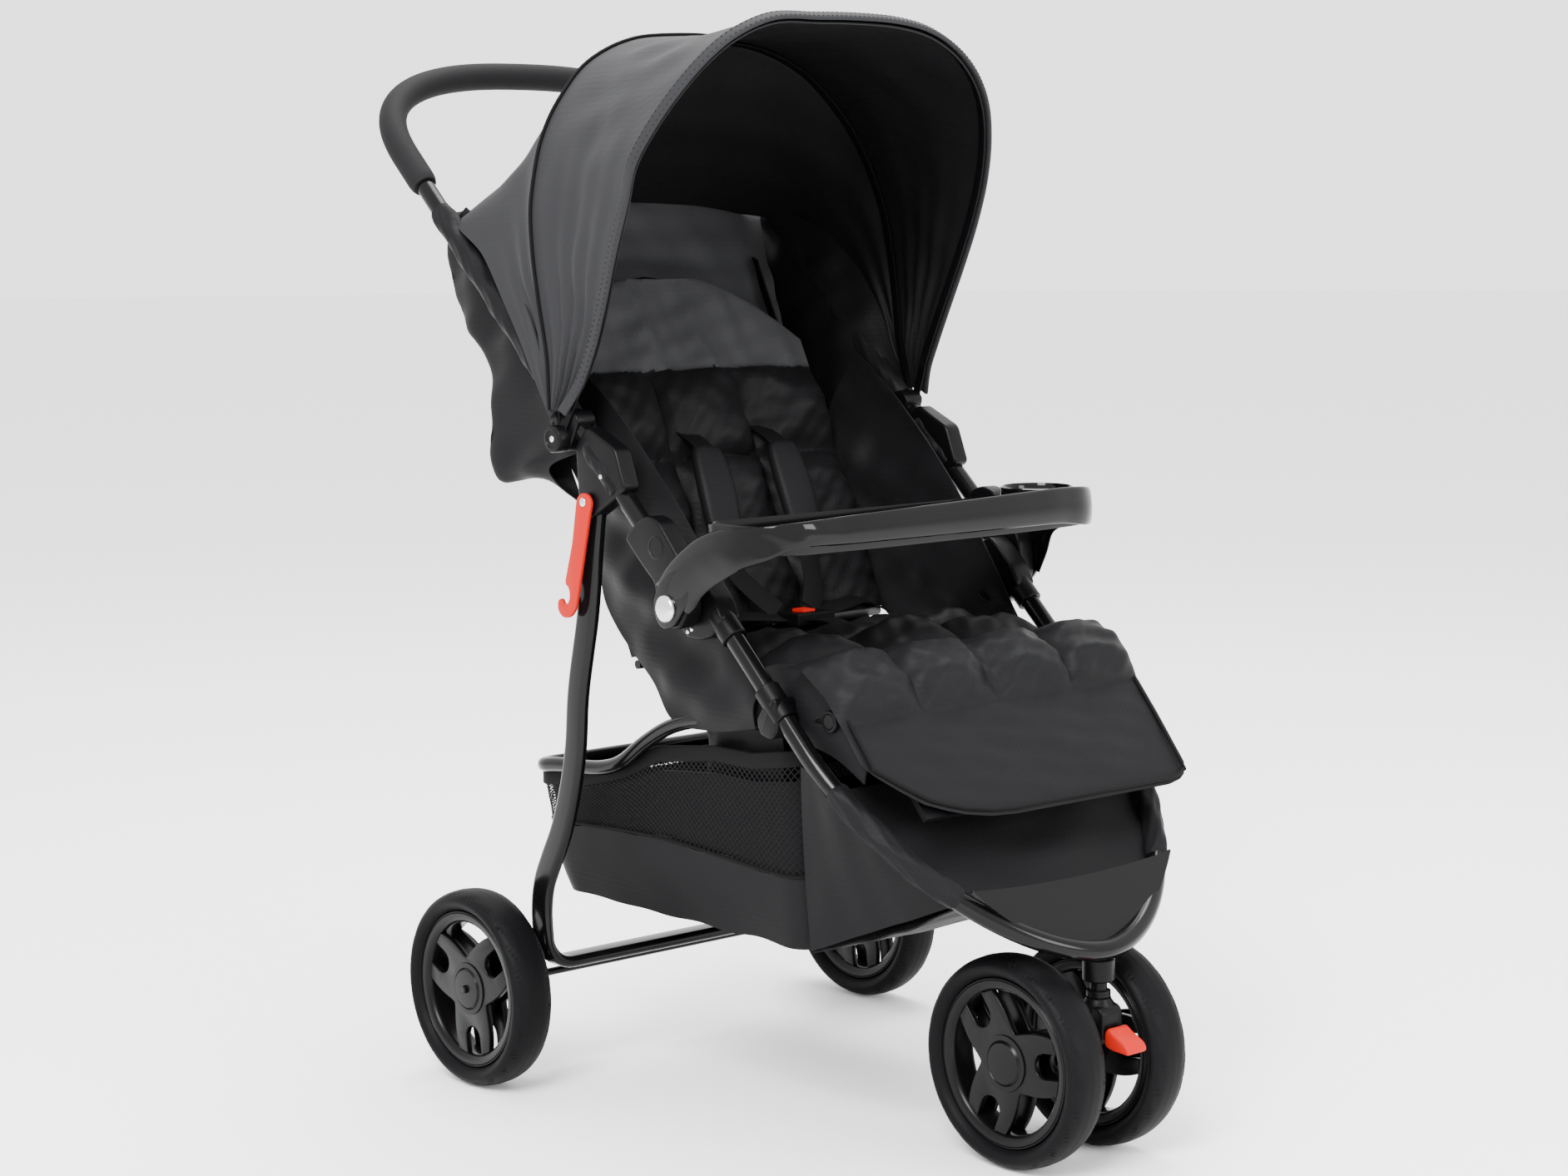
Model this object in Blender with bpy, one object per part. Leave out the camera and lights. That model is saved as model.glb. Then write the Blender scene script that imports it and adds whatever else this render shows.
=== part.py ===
"""Three-wheel stroller: a folding pushchair with a swivelling twin front wheel.

Metres. X runs across (right side of the seated child is -X), the stroller faces -Y, Z is up.
Side outlines are (y, z) pairs. Everything is moved by SHIFT_Y at the end, so that the box of
the whole stroller is centred on the origin.
"""
import math

import bmesh
import bpy
from mathutils import Vector

# Layout
SHIFT_Y = 0.01735
GAP = 0.0003
SIDES = (("right", -1), ("left", 1))

# Wheels
TYRE_R = 0.100
TYRE_HALF = 0.0229
RIM_R = 0.0800
REAR_WHEEL = (0.2644, 0.170, 0.100)
FRONT_WHEEL = (0.054, -0.3834, 0.100)
REAR_AXLE_R = 0.004
FRONT_AXLE_R = 0.005
REAR_SPOKE = math.radians(23.0)
FRONT_SPOKE = math.radians(52.0)
STEPS = 28

# Frame tubes
TUBE_R = 0.0095
FRONT_X = 0.196
FRONT_START = (-0.1425, 0.4953)
FRONT_SLOPE = math.radians(43.4)
FRONT_STRAIGHT = 0.155
FRONT_ARCH = 0.264
FRONT_POWER = 1.8
HANDLE_X = 0.2185
HANDLE_START = (-0.0523, 0.5800)
HANDLE_SLOPE = math.radians(42.3)
HANDLE_STRAIGHT = 0.5238
HANDLE_ARCH = 0.1388
HANDLE_POWER = 2.47
GRIP_R = 0.0145
GRIP_FROM = 0.4835

# Joints, (y, z)
FOLD = (-0.105, 0.510)
LEG = (0.024, 0.601)
SEAT = (-0.213, 0.411)
KNEE = (-0.275, 0.418)
BACK = (0.030, 0.435)
HUB = (0.0619, 0.6603)
BACK_HALF = 0.170
BACK_REACH = 0.422
BACK_CROWN = 0.085
BUTTON = (-0.0835, 0.5653)
STEM_Y = -0.437

# Rear legs
LEG_X = 0.2185
LEG_WIDE = 0.028
LEG_THIN = 0.012
LEG_PATH = ((0.0215, 0.613), LEG, (0.040, 0.488), (0.058, 0.4035), (0.063, 0.353),
            (0.0755, 0.301), (0.0888, 0.266), (0.109, 0.2285), (0.118, 0.210), (0.1235, 0.175))
CROSS = (0.120, 0.124)
CORNER_R = 0.030

# Seat
SEAT_X = 0.1745
SEAT_TUBE_R = 0.0075
SEAT_PATH = ((-0.263, 0.4163), (-0.190, 0.406), (-0.020, 0.3765), (0.010, 0.3600), (0.045, 0.337), (0.165, 0.318))
SEAT_REAR = (0.195, 0.313)
LEGREST_START = (-0.285, 0.446)
LEGREST_SLOPE = math.radians(-128.85)

# Canopy: bow angle, arch start, arch height, half width, arch power, lift off the hub
REAR_BOW = (42.3, 0.190, 0.135, 0.2405, 3.20, 0.0300)
MID_BOW = (80.0, 0.200, 0.205, 0.2425, 2.05, 0.0)
FRONT_BOW = (118.0, 0.270, 0.191, 0.2425, 2.05, 0.0)
CLOTH = 0.003


def material(name, colour, roughness, metallic=0.0):
    """A plain material with one colour."""
    mat = bpy.data.materials.new(name)
    mat.use_nodes = True
    shader = mat.node_tree.nodes["Principled BSDF"]
    shader.inputs["Base Color"].default_value = (*colour, 1.0)
    shader.inputs["Roughness"].default_value = roughness
    shader.inputs["Metallic"].default_value = metallic
    return mat


def add(name, bm, mat, pivot=(0.0, 0.0, 0.0)):
    """Turn a bmesh in stroller coordinates into an object whose origin is its pivot."""
    pivot = Vector(pivot)
    bmesh.ops.translate(bm, verts=bm.verts, vec=-pivot)
    bmesh.ops.recalc_face_normals(bm, faces=bm.faces)
    mesh = bpy.data.meshes.new(name)
    bm.to_mesh(mesh)
    bm.free()
    mesh.materials.append(mat)
    mesh.shade_smooth()
    mesh.set_sharp_from_angle(angle=math.radians(35))
    ob = bpy.data.objects.new(name, mesh)
    ob.location = pivot + Vector((0.0, SHIFT_Y, 0.0))
    bpy.context.collection.objects.link(ob)
    return ob


def loft(rings, closed=False):
    """Skin a row of rings; open rows get flat ends, closed rows join up."""
    bm = bmesh.new()
    loops = [[bm.verts.new(p) for p in ring] for ring in rings]
    pairs = list(zip(loops, loops[1:]))
    if closed:
        pairs.append((loops[-1], loops[0]))
    for a, b in pairs:
        for i in range(len(a)):
            j = (i + 1) % len(a)
            bm.faces.new((a[i], a[j], b[j], b[i]))
    if not closed:
        bm.faces.new(loops[0][::-1])
        bm.faces.new(loops[-1])
    return bm


def plate(outline, x0, x1):
    """A side outline (y, z) given thickness from x0 to x1."""
    return loft([[(x, y, z) for y, z in outline] for x in (x0, x1)])


def slab(outline, z0, z1):
    """A plan outline (x, y) given height from z0 to z1."""
    return loft([[(x, y, z) for x, y in outline] for z in (z0, z1)])


def disc(centre, radius, steps=20):
    """Points of a circle round (a, b)."""
    turns = [2 * math.pi * i / steps for i in range(steps)]
    return [(centre[0] + radius * math.cos(t), centre[1] + radius * math.sin(t)) for t in turns]


def capsule(a, b, radius, steps=8):
    """Outline of a bar with round ends from a to b."""
    angle = math.atan2(b[1] - a[1], b[0] - a[0])
    points = []
    for centre, start in ((b, angle - math.pi / 2), (a, angle + math.pi / 2)):
        for i in range(steps + 1):
            t = start + math.pi * i / steps
            points.append((centre[0] + radius * math.cos(t), centre[1] + radius * math.sin(t)))
    return points


def box(x, y, z):
    """A block between three ranges."""
    return loft([[(x[0], y[0], h), (x[1], y[0], h), (x[1], y[1], h), (x[0], y[1], h)] for h in z])


def soften(ob, width, segments=2):
    """Round the sharp edges."""
    mod = ob.modifiers.new("Bevel", "BEVEL")
    mod.width = width
    mod.segments = segments
    mod.limit_method = "ANGLE"
    mod.angle_limit = math.radians(40)
    return ob


def cut(ob, bm, operation="DIFFERENCE"):
    """Cut a shape out of an object, or join it on."""
    tool = add(f"{ob.name}_tool_{len(ob.modifiers)}", bm, ob.data.materials[0])
    tool.hide_render = True
    tool.display_type = "WIRE"
    mod = ob.modifiers.new("Cut", "BOOLEAN")
    mod.operation = operation
    mod.solver = "EXACT"
    mod.object = tool
    return ob


def frames(points, wide):
    """Tangent and cross directions along a path, the second kept near the wide direction."""
    points = [Vector(p) for p in points]
    rows = []
    for i, p in enumerate(points):
        before = points[max(i - 1, 0)]
        after = points[min(i + 1, len(points) - 1)]
        tangent = (after - before).normalized()
        across = (Vector(wide) - Vector(wide).dot(tangent) * tangent).normalized()
        rows.append((p, across, tangent.cross(across)))
    return rows


def round_rings(points, radius, wide, steps=12):
    """Circles along a path."""
    turns = [2 * math.pi * i / steps for i in range(steps)]
    return [[p + radius * (math.cos(t) * a + math.sin(t) * b) for t in turns]
            for p, a, b in frames(points, wide)]


def bar_rings(points, width, thick, wide, steps=4):
    """Flat-oval sections along a path, or sharp ones when steps is 0."""
    half, r = width / 2 - thick / 2, thick / 2
    if steps:
        section = capsule((-half, 0.0), (half, 0.0), r, steps)
    else:
        section = [(-width / 2, -r), (width / 2, -r), (width / 2, r), (-width / 2, r)]
    return [[p + u * a + v * b for u, v in section] for p, a, b in frames(points, wide)]


def rod(radius, x0, x1, y, z, steps=16):
    """A round bar along X."""
    return plate(disc((y, z), radius, steps), x0, x1)


def tube_between(a, b, radius, steps=16):
    """A round bar between two points."""
    return loft(round_rings((a, b), radius, (1.0, 0.0, 0.0), steps))


def arch(straight, rise, half, power, steps=11):
    """Points (x, s) of an arch: straight sides up to s = straight, then a rounded end."""
    points = []
    for i in range(2 * steps + 1):
        t = math.pi * i / (2 * steps)
        c, s = math.cos(t), math.sin(t)
        x = math.copysign(abs(c) ** (2 / power), c) * half
        points.append((x, straight + rise * abs(s) ** (2 / power)))
    return points


def on_slope(start, angle, x, s, lift=0.0):
    """Point at distance s along a slope that climbs at angle from +Y."""
    y = start[0] + s * math.cos(angle) - lift * math.sin(angle)
    z = start[1] + s * math.sin(angle) + lift * math.cos(angle)
    return (x, y, z)


def front_point(x, s, lift=0.0):
    """Point of the front frame's plane, s running forward and down."""
    return on_slope(FRONT_START, FRONT_SLOPE + math.pi, x, s, -lift)


def handle_point(x, s, lift=0.0):
    """Point of the handle's plane, s running back and up."""
    return on_slope(HANDLE_START, HANDLE_SLOPE, x, s, lift)


def wheel(name, place, axle_r, spoke, mats):
    """A tyre on a rim with three broad spokes, the first of them turned to the angle spoke."""
    side = [(0.0803, 0.0150), (0.0850, 0.0205), (0.0905, TYRE_HALF), (0.0970, 0.0165)]
    tyre = side + [(TYRE_R, 0.0)] + [(r, -x) for r, x in reversed(side)]
    bore = axle_r + GAP
    half = [(bore, 0.0175), (0.0150, 0.0175), (0.0175, 0.0130), (0.0640, 0.0120), (0.0690, 0.0160),
            (RIM_R, 0.0160)]
    rim = half + [(r, -x) for r, x in reversed(half)]
    for part, profile in (("tyre", tyre), ("rim", rim)):
        rings = []
        for i in range(STEPS):
            t = 2 * math.pi * i / STEPS
            rings.append([(place[0] + x, place[1] + r * math.cos(t), place[2] + r * math.sin(t))
                          for r, x in profile])
        ob = add(f"{name[0]}_{part}_{name[1]}", loft(rings, closed=True), mats[part], place)
        if part == "rim":
            for k in range(3):
                middle = spoke + math.radians(60 + 120 * k)
                turns = [middle + math.radians(-38 + 76 * i / 6) for i in range(7)]
                window = [(place[1] + 0.061 * math.cos(t), place[2] + 0.061 * math.sin(t)) for t in turns]
                window += [(place[1] + 0.030 * math.cos(t), place[2] + 0.030 * math.sin(t))
                           for t in reversed(turns)]
                cut(ob, plate(window, place[0] - 0.03, place[0] + 0.03))


def build_front_frame(mats):
    """Front tube, the lower half of the fold joint and what is fixed to them."""
    ends = [front_point(FRONT_X, -0.0215), front_point(FRONT_X, 0.05)]
    path = ends + [front_point(x, s) for x, s in arch(FRONT_STRAIGHT, FRONT_ARCH, FRONT_X, FRONT_POWER)]
    path += [(-x, y, z) for x, y, z in reversed(ends)]
    normal = (0.0, -math.sin(FRONT_SLOPE), math.cos(FRONT_SLOPE))
    add("front_tube", loft(round_rings(path, TUBE_R, normal)), mats["tube"])

    casing = [(-0.1336, 0.4859), (-0.1514, 0.5047), (-0.1190, 0.5400), (-0.1080, 0.5470), (-0.0900, 0.5370),
              (-0.0795, 0.5120), (-0.0830, 0.4930), (-0.1000, 0.4790), (-0.1200, 0.4785)]
    ears = capsule(SEAT, (-0.2220, 0.4245), 0.0150)
    for side, s in SIDES:
        ob = add(f"lower_casing_{side}", plate(casing, s * 0.1835, s * 0.2083), mats["plastic"])
        soften(ob, 0.002)
        cut(ob, tube_between(front_point(s * FRONT_X, -0.0220), front_point(s * FRONT_X, 0.03), TUBE_R + GAP))
        ob = add(f"seat_bracket_{side}", plate(ears, s * 0.1823, s * 0.2080), mats["plastic"])
        cut(ob, tube_between(front_point(s * FRONT_X, 0.06), front_point(s * FRONT_X, 0.14), TUBE_R + GAP))

    # Footrest plate, upright behind the bottom of the front tube
    base, up = Vector((0.0, -0.4370, 0.2160)), Vector((0.0, 0.46, 0.888))
    low = []
    for x, s in arch(FRONT_STRAIGHT, FRONT_ARCH, FRONT_X, FRONT_POWER):
        if abs(x) < 0.118:
            height = (Vector(front_point(x, s)) - base).dot(up) + TUBE_R + 0.0040
            low.append((x, max(height, 0.002)))
    outline = [(0.118, 0.063)] + low + [(-0.118, 0.063)]
    across = up.cross(Vector((1.0, 0.0, 0.0)))
    rings = [[base + Vector((x, 0.0, 0.0)) + h * up + t * across for x, h in outline] for t in (-0.002, 0.002)]
    add("footrest_plate", loft(rings), mats["plastic"])

    housing = box((-0.020, 0.020), (-0.4600, -0.4150), (0.178, 0.1974))
    ob = soften(add("swivel_housing", housing, mats["plastic"]), 0.004)
    cut(ob, slab(disc((0.0, STEM_Y), 0.0080), 0.1615, 0.185), "UNION")


def build_casters(mats):
    """Swivelling fork with two small wheels and its red lock."""
    y, z = FRONT_WHEEL[1], FRONT_WHEEL[2]
    outline = [(-0.4555, 0.1240), (-0.4555, 0.1550), (-0.4510, 0.1612), (-0.4230, 0.1612), (-0.4180, 0.1500),
               (-0.4050, 0.1300), (-0.3800, 0.1150), (-0.3690, 0.1050), (-0.3680, 0.0930), (-0.3780, 0.0850),
               (-0.3930, 0.0860), (-0.4150, 0.1000), (-0.4400, 0.1180)]
    fork = add("caster_fork", plate(outline, -0.0140, 0.0140), mats["plastic"], (0.0, STEM_Y, 0.140))
    soften(fork, 0.003)
    cut(fork, rod(FRONT_AXLE_R + GAP, -0.03, 0.03, y, z))
    add("front_axle", rod(FRONT_AXLE_R, -0.0700, 0.0700, y, z), mats["steel"], (0.0, y, z))
    lever = [(-0.4558, 0.1200), (-0.4558, 0.1330), (-0.4620, 0.1420), (-0.4830, 0.1330), (-0.4870, 0.1270),
             (-0.4860, 0.1190), (-0.4800, 0.1150), (-0.4640, 0.1150)]
    ob = add("swivel_lock_lever", plate(lever, -0.0160, 0.0160), mats["red"], (0.0, -0.4590, 0.1330))
    soften(ob, 0.003)
    for side, s in SIDES:
        wheel(("front", side), (s * FRONT_WHEEL[0], y, z), FRONT_AXLE_R, FRONT_SPOKE, mats)


def build_handle(mats):
    """Handle tube, foam grip, the upper half of the fold joint and the brackets on the tube."""
    ends = [handle_point(HANDLE_X, -0.0220), handle_point(HANDLE_X, 0.24), handle_point(HANDLE_X, 0.48)]
    curve = [handle_point(x, s) for x, s in arch(HANDLE_STRAIGHT, HANDLE_ARCH, HANDLE_X, HANDLE_POWER)]
    path = ends + curve + [(-x, y, z) for x, y, z in reversed(ends)]
    normal = (0.0, -math.sin(HANDLE_SLOPE), math.cos(HANDLE_SLOPE))
    add("handle_tube", loft(round_rings(path, TUBE_R, normal)), mats["tube"])

    grip = [handle_point(HANDLE_X, GRIP_FROM)] + curve + [handle_point(-HANDLE_X, GRIP_FROM)]
    outer = round_rings(grip, GRIP_R, normal)
    inner = round_rings(grip, TUBE_R + 2 * GAP, normal)
    add("handle_grip", loft(outer + inner[::-1], closed=True), mats["foam"])

    casing = [(-0.0340, 0.5690), (-0.0580, 0.5920), (-0.1000, 0.5760), (-0.1150, 0.5650), (-0.1260, 0.5400),
              (-0.1280, 0.5080), (-0.1170, 0.4910), (-0.0980, 0.4890), (-0.0840, 0.5020), (-0.0800, 0.5310)]
    sleeve = [(-0.0340, 0.6160), (-0.0190, 0.6540), (0.0260, 0.6740), (0.0440, 0.6540), (0.0400, 0.6020),
              (0.0350, 0.5880), (0.0230, 0.5840), (0.0110, 0.5900)]
    clamp = capsule(HUB, (0.0520, 0.6760), 0.0140)
    for side, s in SIDES:
        axis = [handle_point(s * HANDLE_X, k) for k in (-0.0223, 0.03, 0.20)]
        ob = add(f"upper_casing_{side}", plate(casing, s * 0.2105, s * 0.2315), mats["plastic"])
        soften(ob, 0.002)
        cut(ob, tube_between(axis[0], axis[1], TUBE_R + GAP))
        cut(ob, rod(0.0095, s * 0.2165, s * 0.2400, *BUTTON))
        button = rod(0.0092, s * 0.2200, s * 0.2340, *BUTTON)
        add(f"fold_release_button_{side}", button, mats["plastic"], (s * 0.2200, *BUTTON))

        ob = add(f"leg_bracket_{side}", plate(sleeve, s * 0.2065, s * 0.2305), mats["plastic"])
        soften(ob, 0.002)
        cut(ob, tube_between(axis[0], axis[2], TUBE_R + GAP))
        slot = [(-0.060, 0.560), (-0.060, 0.6180), (-0.010, 0.6180), (0.010, 0.6230), (0.038, 0.6230),
                (0.080, 0.6100), (0.080, 0.560)]
        cut(ob, plate(slot, s * 0.2122, s * 0.2248))

        ob = add(f"canopy_clamp_{side}", plate(clamp, s * 0.2065, s * 0.2303), mats["plastic"])
        cut(ob, tube_between(axis[0], axis[2], TUBE_R + GAP))

        cap = [[(s * x, FOLD[0] + r * math.cos(t), FOLD[1] + r * math.sin(t))
                for t in (2 * math.pi * i / 16 for i in range(16))]
               for x, r in ((0.2371, 0.0130), (0.2395, 0.0130), (0.2415, 0.0100), (0.2425, 0.0050))]
        add(f"pivot_rivet_{side}", loft(cap), mats["steel"])

    hook = [(0.0170, 0.6090), (0.0120, 0.6010), (0.0150, 0.5900), (0.0265, 0.5446), (0.0390, 0.4950),
            (0.0480, 0.4865), (0.0600, 0.4860), (0.0655, 0.4930), (0.0640, 0.5030), (0.0560, 0.5020),
            (0.0500, 0.5040), (0.0475, 0.5120), (0.0520, 0.5190), (0.0420, 0.5600), (0.0360, 0.5930),
            (0.0350, 0.6040), (0.0270, 0.6100)]
    add("transport_hook", plate(hook, -0.2308, -0.2345), mats["red"], (-0.2308, *LEG))


def build_rear_legs(mats):
    """One flat-oval tube bent into a U, the axle, its housings, brakes and wheels."""
    path = [(LEG_X, y, z) for y, z in LEG_PATH]
    for i in range(6):
        t = math.pi / 2 * i / 5
        path.append((LEG_X - CORNER_R * (1 - math.cos(t)), CROSS[0] + 0.002 * (1 - i / 5),
                     CROSS[1] + CORNER_R * (1 - math.sin(t))))
    path += [(-x, y, z) for x, y, z in reversed(path)]
    rings = bar_rings(path, LEG_WIDE, LEG_THIN, (0.0, 1.0, 0.0))
    add("rear_leg_frame", loft(rings), mats["tube"], (0.0, *LEG))

    y, z = REAR_WHEEL[1], REAR_WHEEL[2]
    add("rear_axle", rod(REAR_AXLE_R, -0.2855, 0.2855, y, z), mats["steel"], (0.0, y, z))
    housing = [(0.1405, 0.0900), (0.1405, 0.1560), (0.1520, 0.1560), (0.1700, 0.1250), (0.1860, 0.1080),
               (0.1880, 0.0950), (0.1800, 0.0830), (0.1600, 0.0820)]
    pedal = [(0.1850, 0.1240), (0.1790, 0.1320), (0.1850, 0.1370), (0.2120, 0.1300), (0.2180, 0.1220),
             (0.2140, 0.1160), (0.1950, 0.1180)]
    for side, s in SIDES:
        ob = add(f"axle_housing_{side}", plate(housing, s * 0.2020, s * 0.2390), mats["plastic"])
        soften(ob, 0.003)
        cut(ob, rod(REAR_AXLE_R + GAP, s * 0.19, s * 0.25, y, z))
        ob = add(f"brake_pedal_{side}", plate(pedal, s * 0.2050, s * 0.2350), mats["red"],
                 (s * 0.22, 0.1820, 0.1290))
        soften(ob, 0.002)
        wheel(("rear", side), (s * REAR_WHEEL[0], y, z), REAR_AXLE_R, REAR_SPOKE, mats)


def build_seat(mats):
    """Seat loop tube, boards, cushions, basket and harness buckle."""
    path = [(SEAT_X, y, z) for y, z in SEAT_PATH]
    for i in range(6):
        t = math.pi / 2 * i / 5
        path.append((SEAT_X - 0.03 * (1 - math.cos(t)), SEAT_REAR[0] - 0.03 * (1 - math.sin(t)),
                     SEAT_REAR[1] + 0.005 * (1 - math.sin(t))))
    path += [(-x, y, z) for x, y, z in reversed(path)]
    pivot = (0.0, *SEAT)
    add("seat_loop", loft(round_rings(path, SEAT_TUBE_R, (0.0, 0.0, 1.0), 10)), mats["tube"], pivot)

    board = [(-0.2000, 0.4230), (0.0150, 0.4020), (0.0150, 0.4090), (-0.2000, 0.4300)]
    ob = soften(add("seat_board", plate(board, -0.1650, 0.1650), mats["plastic"], pivot), 0.001)
    cut(ob, plate(disc(SEAT, 0.012), -0.2, 0.2))
    cushion = [(-0.2060, 0.4360), (-0.2200, 0.4520), (-0.2120, 0.4760), (-0.1600, 0.4740), (-0.0400, 0.4560),
               (0.0240, 0.4480), (0.0300, 0.4460), (0.0120, 0.4200), (0.0080, 0.4110)]
    add("seat_cushion", crowned(lambda x: cushion, 0.1680, 0.006), mats["cloth"], pivot)

    outer = [(-0.2120, 0.3700), (-0.2060, 0.1860), (0.1720, 0.1860), (0.2030, 0.2980), (0.0560, 0.3220),
             (0.0000, 0.3620), (-0.0600, 0.3780), (-0.1950, 0.3900)]
    inner = [(-0.2090, 0.3720), (-0.2030, 0.1890), (0.1695, 0.1890), (0.2010, 0.3100), (0.0560, 0.4100),
             (-0.2090, 0.5100)]
    ob = add("basket", plate(outer, -0.1665, 0.1665), mats["cloth"], pivot)
    cut(ob, plate(inner, -0.1640, 0.1640))

    buckle = [(-0.0500, 0.4665), (-0.0500, 0.4800), (-0.0100, 0.4780), (-0.0100, 0.4645)]
    ob = add("harness_buckle", plate(buckle, -0.0250, 0.0250), mats["plastic"], pivot)
    cut(soften(ob, 0.002), box((-0.0083, 0.0083), (-0.0383, -0.0217), (0.4735, 0.5)))
    button = box((-0.0080, 0.0080), (-0.0380, -0.0220), (0.4760, 0.4815))
    add("buckle_button", button, mats["red"], (0.0, -0.0300, 0.4760))

    flap = [(-0.2520, 0.4430), (-0.2700, 0.4330), (-0.2850, 0.4200), (-0.3620, 0.3330), (-0.3670, 0.3370),
            (-0.2890, 0.4250), (-0.2720, 0.4400), (-0.2540, 0.4500)]
    add("legrest_board", plate(flap, -0.1500, 0.1500), mats["plastic"], (0.0, *KNEE))
    pad = [(-0.2480, 0.4540), (-0.2545, 0.4505), (-0.2725, 0.4405), (-0.2895, 0.4255), (-0.3680, 0.3370),
           (-0.3760, 0.3300), (-0.3790, 0.3400), (-0.3560, 0.3780), (-0.3250, 0.4150), (-0.2950, 0.4500),
           (-0.2620, 0.4700), (-0.2380, 0.4760), (-0.2290, 0.4700), (-0.2340, 0.4600)]
    ob = add("legrest_pad", plate(pad, -0.2000, 0.2000), mats["cloth"], (0.0, *KNEE))
    face = [(0.2010, -0.0700)]
    for i in range(7):
        t = math.pi / 2 * i / 6
        face.append((0.1160 + 0.0850 * math.cos(t), 0.0900 + 0.0700 * math.sin(t)))
    face += [(-x, s) for x, s in reversed(face)]
    sides = [[on_slope(LEGREST_START, LEGREST_SLOPE, x, s, lift) for x, s in face] for lift in (-0.06, 0.06)]
    cut(ob, loft(sides), "INTERSECT")
    for side, s in SIDES:
        knob = rod(0.0105, s * 0.1700, s * 0.1862, *KNEE)
        add(f"legrest_knob_{side}", knob, mats["plastic"], (s * 0.1700, *KNEE))


def crowned(outline_at, half, bulge):
    """A cushion: its side outline at each x, drawn in towards the two ends."""
    rings = []
    for part in (-1.0, -0.92, -0.6, -0.3, 0.0, 0.3, 0.6, 0.92, 1.0):
        x = part * half
        outline = outline_at(x)
        middle = Vector((sum(y for y, z in outline), sum(z for y, z in outline))) / len(outline)
        inset = bulge if abs(part) == 1.0 else 0.0
        ring = []
        for y, z in outline:
            offset = Vector((y, z)) - middle
            y1, z1 = middle + offset * (1 - inset / offset.length)
            ring.append((x, y1, z1))
        rings.append(ring)
    return loft(rings)


def back_top(a, b, x):
    """Point on the line through a and b where the back's rounded top ends it at x."""
    start = Vector(a) - Vector(BACK)
    way = (Vector(b) - Vector(a)).normalized()
    reach = BACK_REACH - BACK_CROWN * (x / BACK_HALF) ** 2
    along = start.dot(way)
    run = math.sqrt(along ** 2 - start.length_squared + reach ** 2) - along
    return tuple(Vector(a) + way * run)


def board_at(x):
    """Side outline of the back's board at x."""
    front = ((0.1650, 0.6900), (0.2450, 0.8550))
    rear = ((0.1700, 0.6880), (0.2495, 0.8530))
    return [(0.0420, 0.4420), front[0], back_top(*front, x), back_top(*rear, x), rear[0], (0.0470, 0.4395)]


def cushion_at(x):
    """Side outline of the back's cushion at x."""
    front = ((0.1350, 0.7200), (0.1900, 0.8100))
    rear = ((0.1640, 0.6930), (0.2420, 0.8580))
    return [(0.0360, 0.4560), (0.0240, 0.4640), (0.0300, 0.4900), (0.0900, 0.6300), front[0],
            back_top(*front, x), back_top(*rear, x), rear[0], (0.0450, 0.4520)]


def build_back(mats):
    """Hinge rod, board and cushion of the reclining back."""
    pivot = (0.0, *BACK)
    add("back_hinge_rod", rod(0.0045, -0.1660, 0.1660, *BACK), mats["steel"], pivot)
    add("back_board", crowned(board_at, 0.1600, 0.0), mats["plastic"], pivot)
    add("back_cushion", crowned(cushion_at, BACK_HALF, 0.006), mats["cloth"], pivot)


def bow_point(bow, x, s):
    """Point of a canopy bow's plane, s running out from the hub."""
    return on_slope(HUB, math.radians(bow[0]), x, s, bow[5])


def bow_arch(bow, inset, drop, first):
    """Arch of a canopy bow, inset at its sides, lower by drop, starting first from the hub."""
    _, straight, rise, half, power, _ = bow
    sides = [(half - inset, first + (straight - first) * i / 4) for i in range(4)]
    top = arch(straight, rise - drop, half - inset, power, 9)
    return sides + top + [(-x, s) for x, s in reversed(sides)]


def build_canopy(mats):
    """Two bows that turn on the hubs, and the hood over them."""
    for name, bow, inset, drop in (("canopy_front_bow", FRONT_BOW, 0.0100, 0.0080),
                                   ("canopy_mid_bow", MID_BOW, 0.0069, 0.0140)):
        path = [bow_point(bow, x, s) for x, s in bow_arch(bow, inset, drop, -0.010)]
        wide = (0.0, -math.sin(math.radians(bow[0])), math.cos(math.radians(bow[0])))
        add(name, loft(bar_rings(path, 0.010, 0.0028, wide, 0)), mats["plastic"], (0.0, *HUB))
    shell = []
    for bow in (REAR_BOW, MID_BOW, FRONT_BOW, (FRONT_BOW[0] + 1.8, *FRONT_BOW[1:])):
        outer = [bow_point(bow, x, s) for x, s in bow_arch(bow, 0.0, 0.0, 0.030)]
        inner = [bow_point(bow, x, s) for x, s in bow_arch(bow, CLOTH, CLOTH, 0.030)]
        shell.append(outer + inner[::-1])
    add("canopy_hood", loft(shell), mats["cloth"], (0.0, *HUB))


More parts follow.
